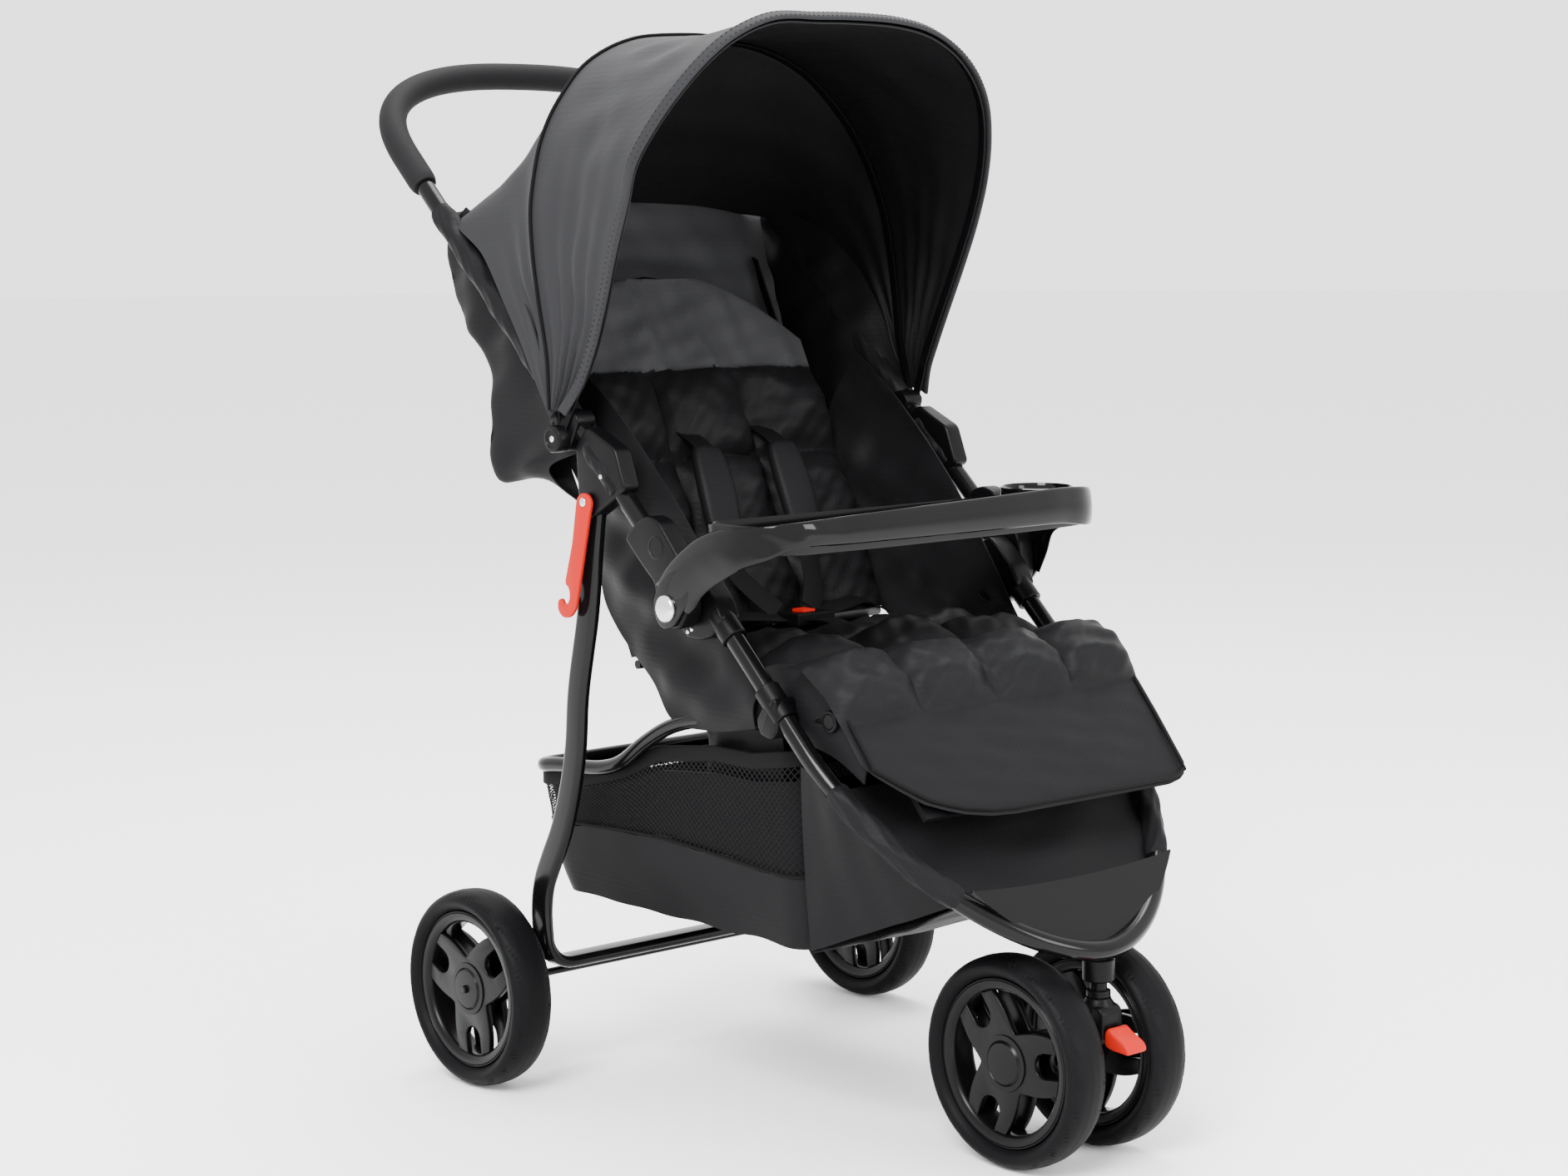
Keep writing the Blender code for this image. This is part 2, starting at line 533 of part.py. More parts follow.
def build_tray(mats):
    """Pan with a cup hole, carried by two arms that clip onto mounts on the upper fold casings."""
    mount = capsule(FOLD, (-0.1180, 0.5290), 0.0200)
    arm = [(-0.1345, 0.5560), (-0.1490, 0.5800), (-0.1635, 0.5870), (-0.1790, 0.5900), (-0.1790, 0.5480),
           (-0.1748, 0.5406), (-0.1620, 0.5320), (-0.1460, 0.5220), (-0.1410, 0.5350)]
    pan = []
    for x, y, radius, start in ((0.1498, -0.1650, 0.0870, 270), (0.2218, -0.1650, 0.0150, 0),
                                (-0.2218, -0.1650, 0.0150, 90), (-0.1498, -0.1650, 0.0870, 180)):
        for i in range(7):
            t = math.radians(start + 90 * i / 6)
            pan.append((x + radius * math.cos(t), y + radius * math.sin(t)))
    ob = add("tray", slab(pan, 0.5650, 0.6040), mats["gloss"])
    inner = [(x * 0.980, -0.1950 + (y + 0.1950) * 0.880) for x, y in pan]
    cut(ob, slab(inner, 0.5700, 0.6200))
    for side, s in SIDES:
        cut(ob, plate(arm, s * 0.2322, s * 0.2368), "UNION")
        piece = add(f"tray_mount_{side}", plate(mount, s * 0.2318, s * 0.2368), mats["gloss"], (0.0, *FOLD))
        soften(piece, 0.001)
    cut(ob, slab(disc((0.175, -0.195), 0.0330, 24), 0.5500, 0.5800))


def main():
    """Clear the scene and build the stroller."""
    for ob in list(bpy.data.objects):
        bpy.data.objects.remove(ob, do_unlink=True)
    mats = {
        "tube": material("black_paint", (0.012, 0.012, 0.013), 0.25),
        "plastic": material("black_plastic", (0.018, 0.018, 0.019), 0.50),
        "gloss": material("gloss_plastic", (0.010, 0.010, 0.011), 0.12),
        "steel": material("bright_steel", (0.75, 0.75, 0.76), 0.25, 1.0),
        "red": material("red_plastic", (0.80, 0.045, 0.030), 0.35),
        "foam": material("grip_foam", (0.020, 0.020, 0.021), 0.85),
        "tyre": material("tyre_rubber", (0.040, 0.040, 0.042), 0.80),
        "rim": material("rim_plastic", (0.015, 0.015, 0.016), 0.40),
        "cloth": material("black_cloth", (0.045, 0.045, 0.047), 0.90),
    }
    build_front_frame(mats)
    build_casters(mats)
    build_handle(mats)
    build_rear_legs(mats)
    build_seat(mats)
    build_back(mats)
    build_canopy(mats)
    build_tray(mats)


if __name__ == "__main__":
    main()
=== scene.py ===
"""Looks of a three-wheel stroller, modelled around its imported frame.

Shapes are made in stroller coordinates: X runs across with the child's right side at -X,
the stroller faces -Y and Z is up. make() moves them back by SHIFT, which centres the box.
"""

import math

import bmesh
import bpy
import numpy as np
from bpy.props import FloatProperty, FloatVectorProperty, IntProperty, PointerProperty
from mathutils import Matrix, Vector


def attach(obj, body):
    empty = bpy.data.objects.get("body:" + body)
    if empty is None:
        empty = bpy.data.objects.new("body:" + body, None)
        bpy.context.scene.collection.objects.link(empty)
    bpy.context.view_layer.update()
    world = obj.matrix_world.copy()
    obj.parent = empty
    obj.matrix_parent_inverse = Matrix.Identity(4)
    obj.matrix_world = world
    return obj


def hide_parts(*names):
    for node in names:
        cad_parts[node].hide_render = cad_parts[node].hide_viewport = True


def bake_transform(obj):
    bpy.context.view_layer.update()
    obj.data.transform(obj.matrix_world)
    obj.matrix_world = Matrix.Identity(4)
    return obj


bl_info = {
    "name": "Three-wheel stroller looks",
    "version": (1, 0, 0),
    "blender": (4, 5, 0),
    "location": "View3D > Sidebar > Stroller",
    "description": "Dresses the packed stroller frame with finished pieces and a studio",
    "category": "Object",
}

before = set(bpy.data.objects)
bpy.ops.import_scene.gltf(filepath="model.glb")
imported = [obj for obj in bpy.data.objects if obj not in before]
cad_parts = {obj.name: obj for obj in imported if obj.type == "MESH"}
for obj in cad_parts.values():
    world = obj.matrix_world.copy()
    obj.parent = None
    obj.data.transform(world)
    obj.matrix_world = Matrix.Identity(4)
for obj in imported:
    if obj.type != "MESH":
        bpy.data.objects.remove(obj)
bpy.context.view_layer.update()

SHIFT = np.array((0.0, 0.01735, 0.0))
SIDES = (("right", -1), ("left", 1))

# Joints and planes of the frame, (y, z)
FOLD = (-0.105, 0.510)
LEG = (0.024, 0.601)
KNEE = (-0.275, 0.418)
HUB = (0.0619, 0.6603)
BUTTON = (-0.0835, 0.5653)
STEM_Y = -0.437
FRONT_X = 0.196
FRONT_START = (-0.1425, 0.4953)
FRONT_SLOPE = math.radians(43.4)
FRONT_BEND = (0.155, 0.264, FRONT_X, 1.8)
HANDLE_X = 0.2185
HANDLE_START = (-0.0523, 0.5800)
HANDLE_SLOPE = math.radians(42.3)
HANDLE_BEND = (0.5238, 0.1388, HANDLE_X, 2.47)
LEG_X = 0.2185
SEAT_X = 0.1745
REAR_WHEEL = (0.2644, 0.170, 0.100)
FRONT_WHEEL = (0.054, -0.3834, 0.100)

# Turns of the spokes in degrees, and slopes of the canopy's bows
REAR_SPOKE, FRONT_SPOKE = 23.0, 52.0
MID_BOW, FRONT_BOW = math.radians(80.0), math.radians(118.0)

# Directions that the back cushion and the leg-rest pad face, and a point inside the hood
BACK_FACES = (0.0, -0.895, 0.446)
LEGREST_FACES = (0.0, -0.70, 0.71)
HOOD_MIDDLE = np.array((0.0, 0.060, 0.800))

# Pitch of the woven threads, and thickness of the harness webbing
THREADS = 0.0009
WEBBING = 0.0016


class StrollerSizes(bpy.types.PropertyGroup):
    """Driving sizes of the finished pieces."""

    tube: FloatProperty(name="Tube radius", description="Radius of the round frame tubes",
                        default=0.0095, unit="LENGTH")
    seat_tube: FloatProperty(name="Seat tube radius", description="Radius of the seat loop tube",
                             default=0.0075, unit="LENGTH")
    grip: FloatProperty(name="Grip radius", description="Radius of the foam on the handle",
                        default=0.0145, unit="LENGTH")
    leg_wide: FloatProperty(name="Leg width", description="Long side of the flat-oval rear leg",
                            default=0.028, unit="LENGTH")
    leg_thin: FloatProperty(name="Leg thickness", description="Short side of the flat-oval rear leg",
                            default=0.012, unit="LENGTH")
    tyre: FloatProperty(name="Tyre radius", description="Outer radius of all four tyres",
                        default=0.100, unit="LENGTH")
    tyre_half: FloatProperty(name="Tyre half width", description="Half of the tyre's width",
                             default=0.0229, unit="LENGTH")
    rim: FloatProperty(name="Rim radius", description="Outer radius of the rims",
                       default=0.0800, unit="LENGTH")
    cloth: FloatProperty(name="Cloth thickness", description="Thickness of the single-layer fabric",
                         default=0.0016, unit="LENGTH")
    puff: FloatProperty(name="Puff height", description="Height of a quilted square over its seams",
                        default=0.015, unit="LENGTH")
    swell: FloatProperty(name="Swell", description="Furthest that the filling pushes a point out",
                         default=0.012, unit="LENGTH")
    frames: IntProperty(name="Cloth frames", description="Frames that each padded piece is simulated",
                        default=20)


class StrollerColours(bpy.types.PropertyGroup):
    """Base colours of the finishes."""

    paint: FloatVectorProperty(name="Paint", description="Gloss black paint of the tubes",
                               subtype="COLOR", default=(0.0022, 0.0022, 0.0024))
    plastic: FloatVectorProperty(name="Plastic", description="Satin black plastic of the fittings",
                                 subtype="COLOR", default=(0.0018, 0.0018, 0.0021))
    tray: FloatVectorProperty(name="Tray", description="Gloss black plastic of the tray",
                              subtype="COLOR", default=(0.002, 0.002, 0.0022))
    red: FloatVectorProperty(name="Red", description="Red plastic of the hook, lock and brakes",
                             subtype="COLOR", default=(0.34, 0.0075, 0.0040))
    steel: FloatVectorProperty(name="Steel", description="Bright steel of rivets and axles",
                               subtype="COLOR", default=(0.62, 0.62, 0.63))
    foam: FloatVectorProperty(name="Foam", description="Foam of the handle grip",
                              subtype="COLOR", default=(0.006, 0.006, 0.0065))
    rubber: FloatVectorProperty(name="Rubber", description="Dark grey of the tyres",
                                subtype="COLOR", default=(0.003, 0.003, 0.0034))
    hood: FloatVectorProperty(name="Hood cloth", description="Charcoal fabric of the hood",
                              subtype="COLOR", default=(0.0130, 0.0130, 0.0145))
    cloth: FloatVectorProperty(name="Seat cloth", description="Dark fabric of seat, back and basket",
                               subtype="COLOR", default=(0.0052, 0.0052, 0.0057))
    lining: FloatVectorProperty(name="Lining", description="Lighter fabric of the upper back panel",
                                subtype="COLOR", default=(0.030, 0.030, 0.032))
    floor: FloatVectorProperty(name="Floor", description="Pale floor and backdrop",
                               subtype="COLOR", default=(0.92, 0.92, 0.92))


def sizes():
    """The scene's driving sizes."""
    return bpy.context.scene.stroller_sizes


def colours():
    """The scene's base colours."""
    return bpy.context.scene.stroller_colours


# Finishes

def finish(name, colour, roughness, metallic=0.0, specular=0.35):
    """A Principled material, made once."""
    mat = bpy.data.materials.get(name)
    if mat:
        return mat
    mat = bpy.data.materials.new(name)
    mat.use_nodes = True
    shader = mat.node_tree.nodes["Principled BSDF"]
    shader.inputs["Base Color"].default_value = (*colour, 1.0)
    shader.inputs["Roughness"].default_value = roughness
    shader.inputs["Metallic"].default_value = metallic
    shader.inputs["Specular IOR Level"].default_value = specular
    return mat


def grain(mat, scale, depth):
    """Fine noise in the surface."""
    tree = mat.node_tree
    if "Grain" in tree.nodes:
        return mat
    shader = tree.nodes["Principled BSDF"]
    place = tree.nodes.new("ShaderNodeTexCoord")
    noise = tree.nodes.new("ShaderNodeTexNoise")
    noise.name = "Grain"
    noise.inputs["Scale"].default_value = scale
    noise.inputs["Detail"].default_value = 3.0
    bump = tree.nodes.new("ShaderNodeBump")
    bump.inputs["Strength"].default_value = 0.5
    bump.inputs["Distance"].default_value = depth
    tree.links.new(place.outputs["Object"], noise.inputs["Vector"])
    tree.links.new(noise.outputs["Fac"], bump.inputs["Height"])
    tree.links.new(bump.outputs["Normal"], shader.inputs["Normal"])
    return mat


def weave(mat, sheen):
    """Crossed threads, two sets of bands in the surface, square to each other, and a sheen."""
    tree = mat.node_tree
    if "Warp" in tree.nodes:
        return mat
    shader = tree.nodes["Principled BSDF"]
    place = tree.nodes.new("ShaderNodeTexCoord")
    heights = []
    for name, direction in (("Warp", "X"), ("Weft", "Z")):
        wave = tree.nodes.new("ShaderNodeTexWave")
        wave.name = name
        wave.bands_direction = direction
        wave.inputs["Scale"].default_value = 1.0 / (20.0 * THREADS)
        wave.inputs["Distortion"].default_value = 0.3
        tree.links.new(place.outputs["Object"], wave.inputs["Vector"])
        heights.append(wave)
    blend = tree.nodes.new("ShaderNodeMath")
    blend.operation = "MAXIMUM"
    bump = tree.nodes.new("ShaderNodeBump")
    bump.inputs["Strength"].default_value = 0.25
    bump.inputs["Distance"].default_value = 0.0004
    tree.links.new(heights[0].outputs["Fac"], blend.inputs[0])
    tree.links.new(heights[1].outputs["Fac"], blend.inputs[1])
    tree.links.new(blend.outputs["Value"], bump.inputs["Height"])
    tree.links.new(bump.outputs["Normal"], shader.inputs["Normal"])
    shader.inputs["Sheen Weight"].default_value = sheen
    shader.inputs["Sheen Roughness"].default_value = 0.4
    return mat


def paint():
    """Gloss black paint."""
    return finish("gloss_paint", colours().paint, 0.15, specular=0.14)


def plastic():
    """Satin black plastic."""
    return grain(finish("satin_plastic", colours().plastic, 0.36, specular=0.09), 900.0, 0.0002)


def tray_plastic():
    """Gloss black plastic."""
    return finish("tray_plastic", colours().tray, 0.09, specular=0.15)


def red_plastic():
    """Red plastic."""
    return finish("signal_red", colours().red, 0.35, specular=0.08)


def steel():
    """Bright steel."""
    return finish("bright_steel", colours().steel, 0.22, metallic=1.0, specular=0.5)


def foam():
    """Foam of the grip."""
    return grain(finish("grip_foam", colours().foam, 0.72, specular=0.10), 1400.0, 0.0004)


def rubber():
    """Tyre rubber."""
    return grain(finish("tyre_rubber", colours().rubber, 0.50, specular=0.05), 700.0, 0.0002)


def rim_plastic():
    """Smooth black plastic of the rims."""
    return finish("rim_plastic", colours().plastic, 0.28, specular=0.11)


def hood_cloth():
    """Charcoal fabric."""
    return weave(finish("hood_cloth", colours().hood, 0.66, specular=0.12), 0.02)


def seat_cloth():
    """Dark fabric."""
    return weave(finish("seat_cloth", colours().cloth, 0.50, specular=0.06), 0.002)


def lining_cloth():
    """Lighter fabric."""
    return weave(finish("lining_cloth", colours().lining, 0.60, specular=0.10), 0.02)


def piping_cloth():
    """Nearly black fabric of seams and webbing."""
    return finish("piping_cloth", [0.4 * c for c in colours().cloth], 0.7, specular=0.08)


# Shape tools: a solid is (points, faces)

def unit(v):
    """Vectors of length 1."""
    return v / np.maximum(np.linalg.norm(v, axis=-1, keepdims=True), 1e-12)


def smooth(points, count):
    """Curve through points: cubic pieces between them, with each point's slope taken from its
    neighbours."""
    p = np.asarray(points, float)
    step = np.linalg.norm(np.diff(p, axis=0), axis=1)
    t = np.concatenate([[0.0], np.cumsum(step)])
    slope = np.gradient(p, t, axis=0)
    s = np.linspace(t[0], t[-1], count)
    i = np.clip(np.searchsorted(t, s, side="right") - 1, 0, len(t) - 2)
    h = (t[i + 1] - t[i])[:, None]
    u = (s[:, None] - t[i][:, None]) / h
    return ((2 * u**3 - 3 * u**2 + 1) * p[i] + (u**3 - 2 * u**2 + u) * h * slope[i]
            + (3 * u**2 - 2 * u**3) * p[i + 1] + (u**3 - u**2) * h * slope[i + 1])


def even(points, count):
    """The same line with its points evenly spaced."""
    p = np.asarray(points, float)
    t = np.concatenate([[0.0], np.cumsum(np.linalg.norm(np.diff(p, axis=0), axis=1))])
    s = np.linspace(0.0, t[-1], count)
    return np.stack([np.interp(s, t, p[:, k]) for k in range(p.shape[1])], axis=1)


def filleted(outline, radius, steps=5):
    """Closed outline with its corners rounded: each corner becomes a curve that leaves and joins
    the two edges at the radius, or at 0.45 of a shorter edge."""
    p = np.asarray(outline, float)
    rows = []
    for a, b, c in zip(np.roll(p, 1, 0), p, np.roll(p, -1, 0)):
        before, after = a - b, c - b
        la, lc = np.linalg.norm(before), np.linalg.norm(after)
        start = b + before / la * min(radius, 0.45 * la)
        end = b + after / lc * min(radius, 0.45 * lc)
        u = np.linspace(0.0, 1.0, steps)[:, None]
        rows.append((1 - u)**2 * start + 2 * u * (1 - u) * b + u**2 * end)
    return np.vstack(rows)


def circle(radius, count=24):
    """Points (a, b) of a circle."""
    t = np.linspace(0.0, 2 * np.pi, count, endpoint=False)
    return radius * np.stack([np.cos(t), np.sin(t)], axis=1)


def oval(width, thick, steps=8):
    """Flat oval: two half circles of the thickness, joined by straight sides."""
    r = thick / 2
    t = np.linspace(-np.pi / 2, np.pi / 2, steps + 1)
    cap = np.stack([width / 2 - r + r * np.cos(t), r * np.sin(t)], axis=1)
    return np.vstack([cap, -cap])


def sweep(path, section, wide, scale=None):
    """Rings of a section carried along a path: each ring point is the path point plus a times the
    across direction plus b times the direction square to it and to the path."""
    path = np.asarray(path, float)
    along = unit(np.gradient(path, axis=0))
    wide = np.broadcast_to(np.asarray(wide, float), path.shape)
    across = unit(wide - np.sum(wide * along, axis=1, keepdims=True) * along)
    up = np.cross(along, across)
    section = np.asarray(section, float)
    if scale is not None:
        section = section[None] * np.asarray(scale, float)[:, None, None]
    return path[:, None] + section[..., 0:1] * across[:, None] + section[..., 1:2] * up[:, None]


def skin(rings, closed=False):
    """Quads between neighbouring rings: point j of a ring, its next point, and the same two of the
    next ring. Open rows get a face at each end."""
    rings = np.asarray(rings, float)
    rows, count = rings.shape[:2]
    grid = np.arange(rows * count).reshape(rows, count)
    side = np.roll(grid, -1, 1)
    quads = np.stack([grid, side, np.roll(side, -1, 0), np.roll(grid, -1, 0)], axis=-1)
    quads = quads[:rows if closed else rows - 1].reshape(-1, 4).tolist()
    ends = [] if closed else [grid[0][::-1].tolist(), grid[-1].tolist()]
    return rings.reshape(-1, 3), quads + ends


def layer(grid, thickness, inward=None):
    """Closed sheet: the grid, a copy of it moved by the thickness along the grid's normals or along
    a given direction, and a strip of quads round the border."""
    grid = np.asarray(grid, float)
    if inward is None:
        inward = unit(np.cross(np.gradient(grid, axis=0), np.gradient(grid, axis=1)))
    back = grid + thickness * inward
    rows, count = grid.shape[:2]
    front = np.arange(rows * count).reshape(rows, count)
    rear = front + rows * count
    face = np.stack([front[:-1, :-1], front[:-1, 1:], front[1:, 1:], front[1:, :-1]], -1)
    behind = np.stack([rear[:-1, :-1], rear[1:, :-1], rear[1:, 1:], rear[:-1, 1:]], -1)
    face, behind = face.reshape(-1, 4), behind.reshape(-1, 4)
    edge = np.concatenate([front[0, :-1], front[:-1, -1], front[-1, :0:-1], front[:0:-1, 0]])
    border = np.stack([edge, edge + rows * count, np.roll(edge, -1) + rows * count,
                       np.roll(edge, -1)], -1)
    points = np.vstack([grid.reshape(-1, 3), back.reshape(-1, 3)])
    return points, np.vstack([face, behind, border]).tolist()


def join(*solids):
    """Several solids as one."""
    points, faces, start = [], [], 0
    for p, f in solids:
        points.append(p)
        faces += [[i + start for i in face] for face in f]
        start += len(p)
    return np.vstack(points), faces


def upright(rows, x, y, count):
    """Circles about an upright line at (x, y): rows are (radius, height)."""
    t = np.linspace(0.0, 2 * np.pi, count, endpoint=False)
    return [np.stack([x + r * np.cos(t), y + r * np.sin(t), np.full(count, z)], axis=1)
            for r, z in rows]


def lathe(profile, place, steps=64):
    """Turned body about a line along X: profile rows are (radius, x), each turned full circle."""
    profile = np.asarray(profile, float)
    t = np.linspace(0.0, 2 * np.pi, steps, endpoint=False)
    r, x = profile[:, 0][:, None], profile[:, 1][:, None]
    rings = np.stack([place[0] + x + 0 * t, place[1] + r * np.cos(t), place[2] + r * np.sin(t)],
                     axis=-1)
    return skin(rings)


def ring(profile, place, steps=64):
    """Turned ring about a line along X, from a closed profile of (radius, x) rows."""
    profile = np.asarray(profile, float)
    t = np.linspace(0.0, 2 * np.pi, steps, endpoint=False)[:, None]
    r, x = profile[:, 0][None], profile[:, 1][None]
    rings = np.stack([place[0] + x + 0 * t, place[1] + r * np.cos(t), place[2] + r * np.sin(t)],
                     axis=-1)
    return skin(rings, closed=True)


def inset(outline, depth):
    """Closed outline moved inward along its corner normals."""
    p = np.asarray(outline, float)
    t = unit(np.roll(p, -1, 0) - np.roll(p, 1, 0))
    area = np.sum(p[:, 0] * np.roll(p[:, 1], -1) - p[:, 1] * np.roll(p[:, 0], -1))
    normal = np.stack([-t[:, 1], t[:, 0]], axis=1) * (1 if area > 0 else -1)
    return p + depth * normal


def plate(outline, x0, x1, rim=0.0015, steps=4):
    """Side outline (y, z) made solid from x0 to x1 with round rims: at an angle a from 0 to 90
    degrees the outline is drawn in by rim(1 - cos a) and lies rim(1 - sin a) from the face."""
    a = np.linspace(np.pi / 2, 0.0, steps)
    way = 1 if x1 > x0 else -1
    rows = [(x0 + way * rim * (1 - np.sin(k)), rim * (1 - np.cos(k))) for k in a]
    rows += [(x1 - way * rim * (1 - np.sin(k)), rim * (1 - np.cos(k))) for k in a[::-1]]
    rings = []
    for x, depth in rows:
        flat = inset(outline, depth)
        rings.append(np.column_stack([np.full(len(flat), x), flat]))
    return skin(rings)


def dome(place, radius, height, way, steps=32):
    """Round head that bulges towards way * X: radius times cos a, height times sin a."""
    a = np.linspace(0.0, np.pi / 2 * 0.97, 7)
    rows = [(radius, 0.0)]
    rows += [(radius * np.cos(k), way * (height * 0.25 + height * 0.75 * np.sin(k))) for k in a]
    return lathe(rows, place, steps)


def ripple(points, size, depth, seed):
    """Uneven offset of points: sines along six fixed directions, of wavelengths near size."""
    rng = np.random.default_rng(seed)
    total = np.zeros(np.shape(points)[:-1])
    for _ in range(6):
        direction = rng.normal(size=3)
        direction *= 2 * np.pi / (size * rng.uniform(0.7, 1.6) * np.linalg.norm(direction))
        total += np.sin(points @ direction + rng.uniform(0, 6.28))
    return depth * total / 2.5


def on_slope(start, angle, x, s, lift=0.0):
    """Point at distance s along a slope that climbs at angle from +Y, moved off it by lift."""
    x, s = np.broadcast_arrays(np.asarray(x, float), np.asarray(s, float))
    y = start[0] + s * math.cos(angle) - lift * math.sin(angle)
    z = start[1] + s * math.sin(angle) + lift * math.cos(angle)
    return np.stack([x, y, z], axis=-1)


def front_point(x, s, lift=0.0):
    """Point of the front frame's plane, s running forward and down."""
    return on_slope(FRONT_START, FRONT_SLOPE + math.pi, x, s, -lift)


def handle_point(x, s, lift=0.0):
    """Point of the handle's plane, s running back and up."""
    return on_slope(HANDLE_START, HANDLE_SLOPE, x, s, lift)


def arch(straight, rise, half, power, count):
    """Arch (x, s): straight sides, then half * |cos t|^(2 / power) and rise * |sin t|^(2 / power)."""
    t = np.linspace(0.0, np.pi, count)
    x = half * np.sign(np.cos(t)) * np.abs(np.cos(t))**(2 / power)
    return np.stack([x, straight + rise * np.abs(np.sin(t))**(2 / power)], axis=1)


def make(name, solid, mat, body, stands_for=(), angle=40):
    """Turn a solid into a finished piece that rides on a body of the frame."""
    points, faces = solid
    mesh = bpy.data.meshes.new(name)
    mesh.from_pydata((points + SHIFT).tolist(), [], faces)
    bm = bmesh.new()
    bm.from_mesh(mesh)
    bmesh.ops.recalc_face_normals(bm, faces=bm.faces)
    bm.to_mesh(mesh)
    bm.free()
    mesh.materials.append(mat)
    mesh.shade_smooth()
    mesh.set_sharp_from_angle(angle=math.radians(angle))
    ob = bpy.data.objects.new(name, mesh)
    bpy.context.scene.collection.objects.link(ob)
    if body:
        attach(ob, body)
    if stands_for:
        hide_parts(*stands_for)
    return ob


def finished(node, solid, mat, body, angle=40):
    """The finished piece of one frame node."""
    return make(f"{node}_finished", solid, mat, body, [node], angle)


def dress(node, mat, bevel=0.0):
    """Keep a frame node as it is, with a finish and softened edges."""
    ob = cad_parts[node]
    ob.data.materials.clear()
    ob.data.materials.append(mat)
    ob.data.shade_smooth()
    ob.data.set_sharp_from_angle(angle=math.radians(35))
    if bevel:
        mod = ob.modifiers.new("Bevel", "BEVEL")
        mod.width = bevel
        mod.segments = 2
        mod.limit_method = "ANGLE"
        mod.angle_limit = math.radians(35)


def swell(ob, held, reach):
    """Fill a padded piece: cloth with inside pressure and no gravity runs for the set frames while
    the held points stay, and no point ends further than reach from where it was."""
    scene = bpy.context.scene
    mesh = ob.data
    before = np.zeros(len(mesh.vertices) * 3)
    mesh.vertices.foreach_get("co", before)
    before = before.reshape(-1, 3)
    group = ob.vertex_groups.new(name="held")
    group.add([int(i) for i in np.flatnonzero(held)], 1.0, "REPLACE")
    mod = ob.modifiers.new("Cloth", "CLOTH")
    mod.settings.quality = 5
    mod.settings.mass = 0.2
    mod.settings.tension_stiffness = 12.0
    mod.settings.compression_stiffness = 12.0
    mod.settings.shear_stiffness = 4.0
    mod.settings.bending_stiffness = 0.15
    mod.settings.use_pressure = True
    mod.settings.uniform_pressure_force = 4.0
    mod.settings.shrink_min = -0.06
    mod.settings.vertex_group_mass = "held"
    mod.settings.effector_weights.gravity = 0.0
    mod.collision_settings.use_collision = False
    mod.point_cache.frame_start = 1
    mod.point_cache.frame_end = sizes().frames
    for number in range(1, sizes().frames + 1):
        scene.frame_set(number)
    evaluated = ob.evaluated_get(bpy.context.evaluated_depsgraph_get())
    after = np.zeros(len(before) * 3)
    evaluated.data.vertices.foreach_get("co", after)
    move = after.reshape(-1, 3) - before
    length = np.linalg.norm(move, axis=1, keepdims=True)
    move *= np.minimum(1.0, reach / np.maximum(length, 1e-9))
    ob.modifiers.remove(mod)
    ob.vertex_groups.clear()
    mesh.vertices.foreach_set("co", (before + move).ravel())
    mesh.update()
    scene.frame_set(1)


def quilt(a, b, rows, columns):
    """Height from 0 on the seams to 1 inside the squares: (1 - |2u - 1|^3)^0.8 for both ways, where u
    runs from 0 to 1 between two seams. Rows and columns are the seams' places."""
    total = np.ones(np.broadcast(a, b).shape)
    for value, seams in ((a, np.asarray(rows)), (b, np.asarray(columns))):
        i = np.clip(np.searchsorted(seams, value, side="right") - 1, 0, len(seams) - 2)
        u = np.clip((value - seams[i]) / (seams[i + 1] - seams[i]), 0.0, 1.0)
        total = total * (1 - np.abs(2 * u - 1)**3)**0.8
    return total


def stitches(line, length=0.0035, gap=0.0022, radius=0.0004):
    """Short threads along a line of points."""
    line = np.asarray(line, float)
    total = np.sum(np.linalg.norm(np.diff(line, axis=0), axis=1))
    count = int(total / (length + gap))
    points = even(line, 2 * count)
    solids = []
    for a, b in zip(points[0::2], points[1::2]):
        side = np.array((0.3, 0.5, 0.8))
        solids.append(skin(sweep(np.array([a, a + 0.62 * (b - a)]), circle(radius, 4), side)))
    return join(*solids)


# Frame tubes

def front_tube_piece():
    """Front tube: a planar U, swept along the front frame's slope."""
    bend = arch(*FRONT_BEND, 121)
    path = np.vstack([front_point(FRONT_X, np.linspace(-0.0215, 0.14, 8)), front_point(*bend.T),
                      front_point(-FRONT_X, np.linspace(0.14, -0.0215, 8))])
    normal = (0.0, -math.sin(FRONT_SLOPE), math.cos(FRONT_SLOPE))
    rings = sweep(path, circle(sizes().tube, 28), normal)
    finished("front_tube", skin(rings), paint(), "front_frame")


def handle_pieces():
    """Handle tube and its foam grip with rounded ends."""
    start = 0.4835
    bend = handle_point(*arch(*HANDLE_BEND, 121).T)
    path = np.vstack([handle_point(HANDLE_X, np.linspace(-0.022, 0.50, 24)), bend,
                      handle_point(-HANDLE_X, np.linspace(0.50, -0.022, 24))])
    normal = (0.0, -math.sin(HANDLE_SLOPE), math.cos(HANDLE_SLOPE))
    finished("handle_tube", skin(sweep(path, circle(sizes().tube, 28), normal)), paint(),
             "handle_frame")
    path = np.vstack([handle_point(HANDLE_X, np.linspace(start, 0.515, 9)), bend,
                      handle_point(-HANDLE_X, np.linspace(0.515, start, 9))])
    share = np.ones(len(path))
    share[:3] = share[:-4:-1] = (0.86, 0.96, 0.99)
    rings = sweep(path, circle(sizes().grip, 32), normal, share)
    finished("handle_grip", skin(rings), foam(), "handle_frame")


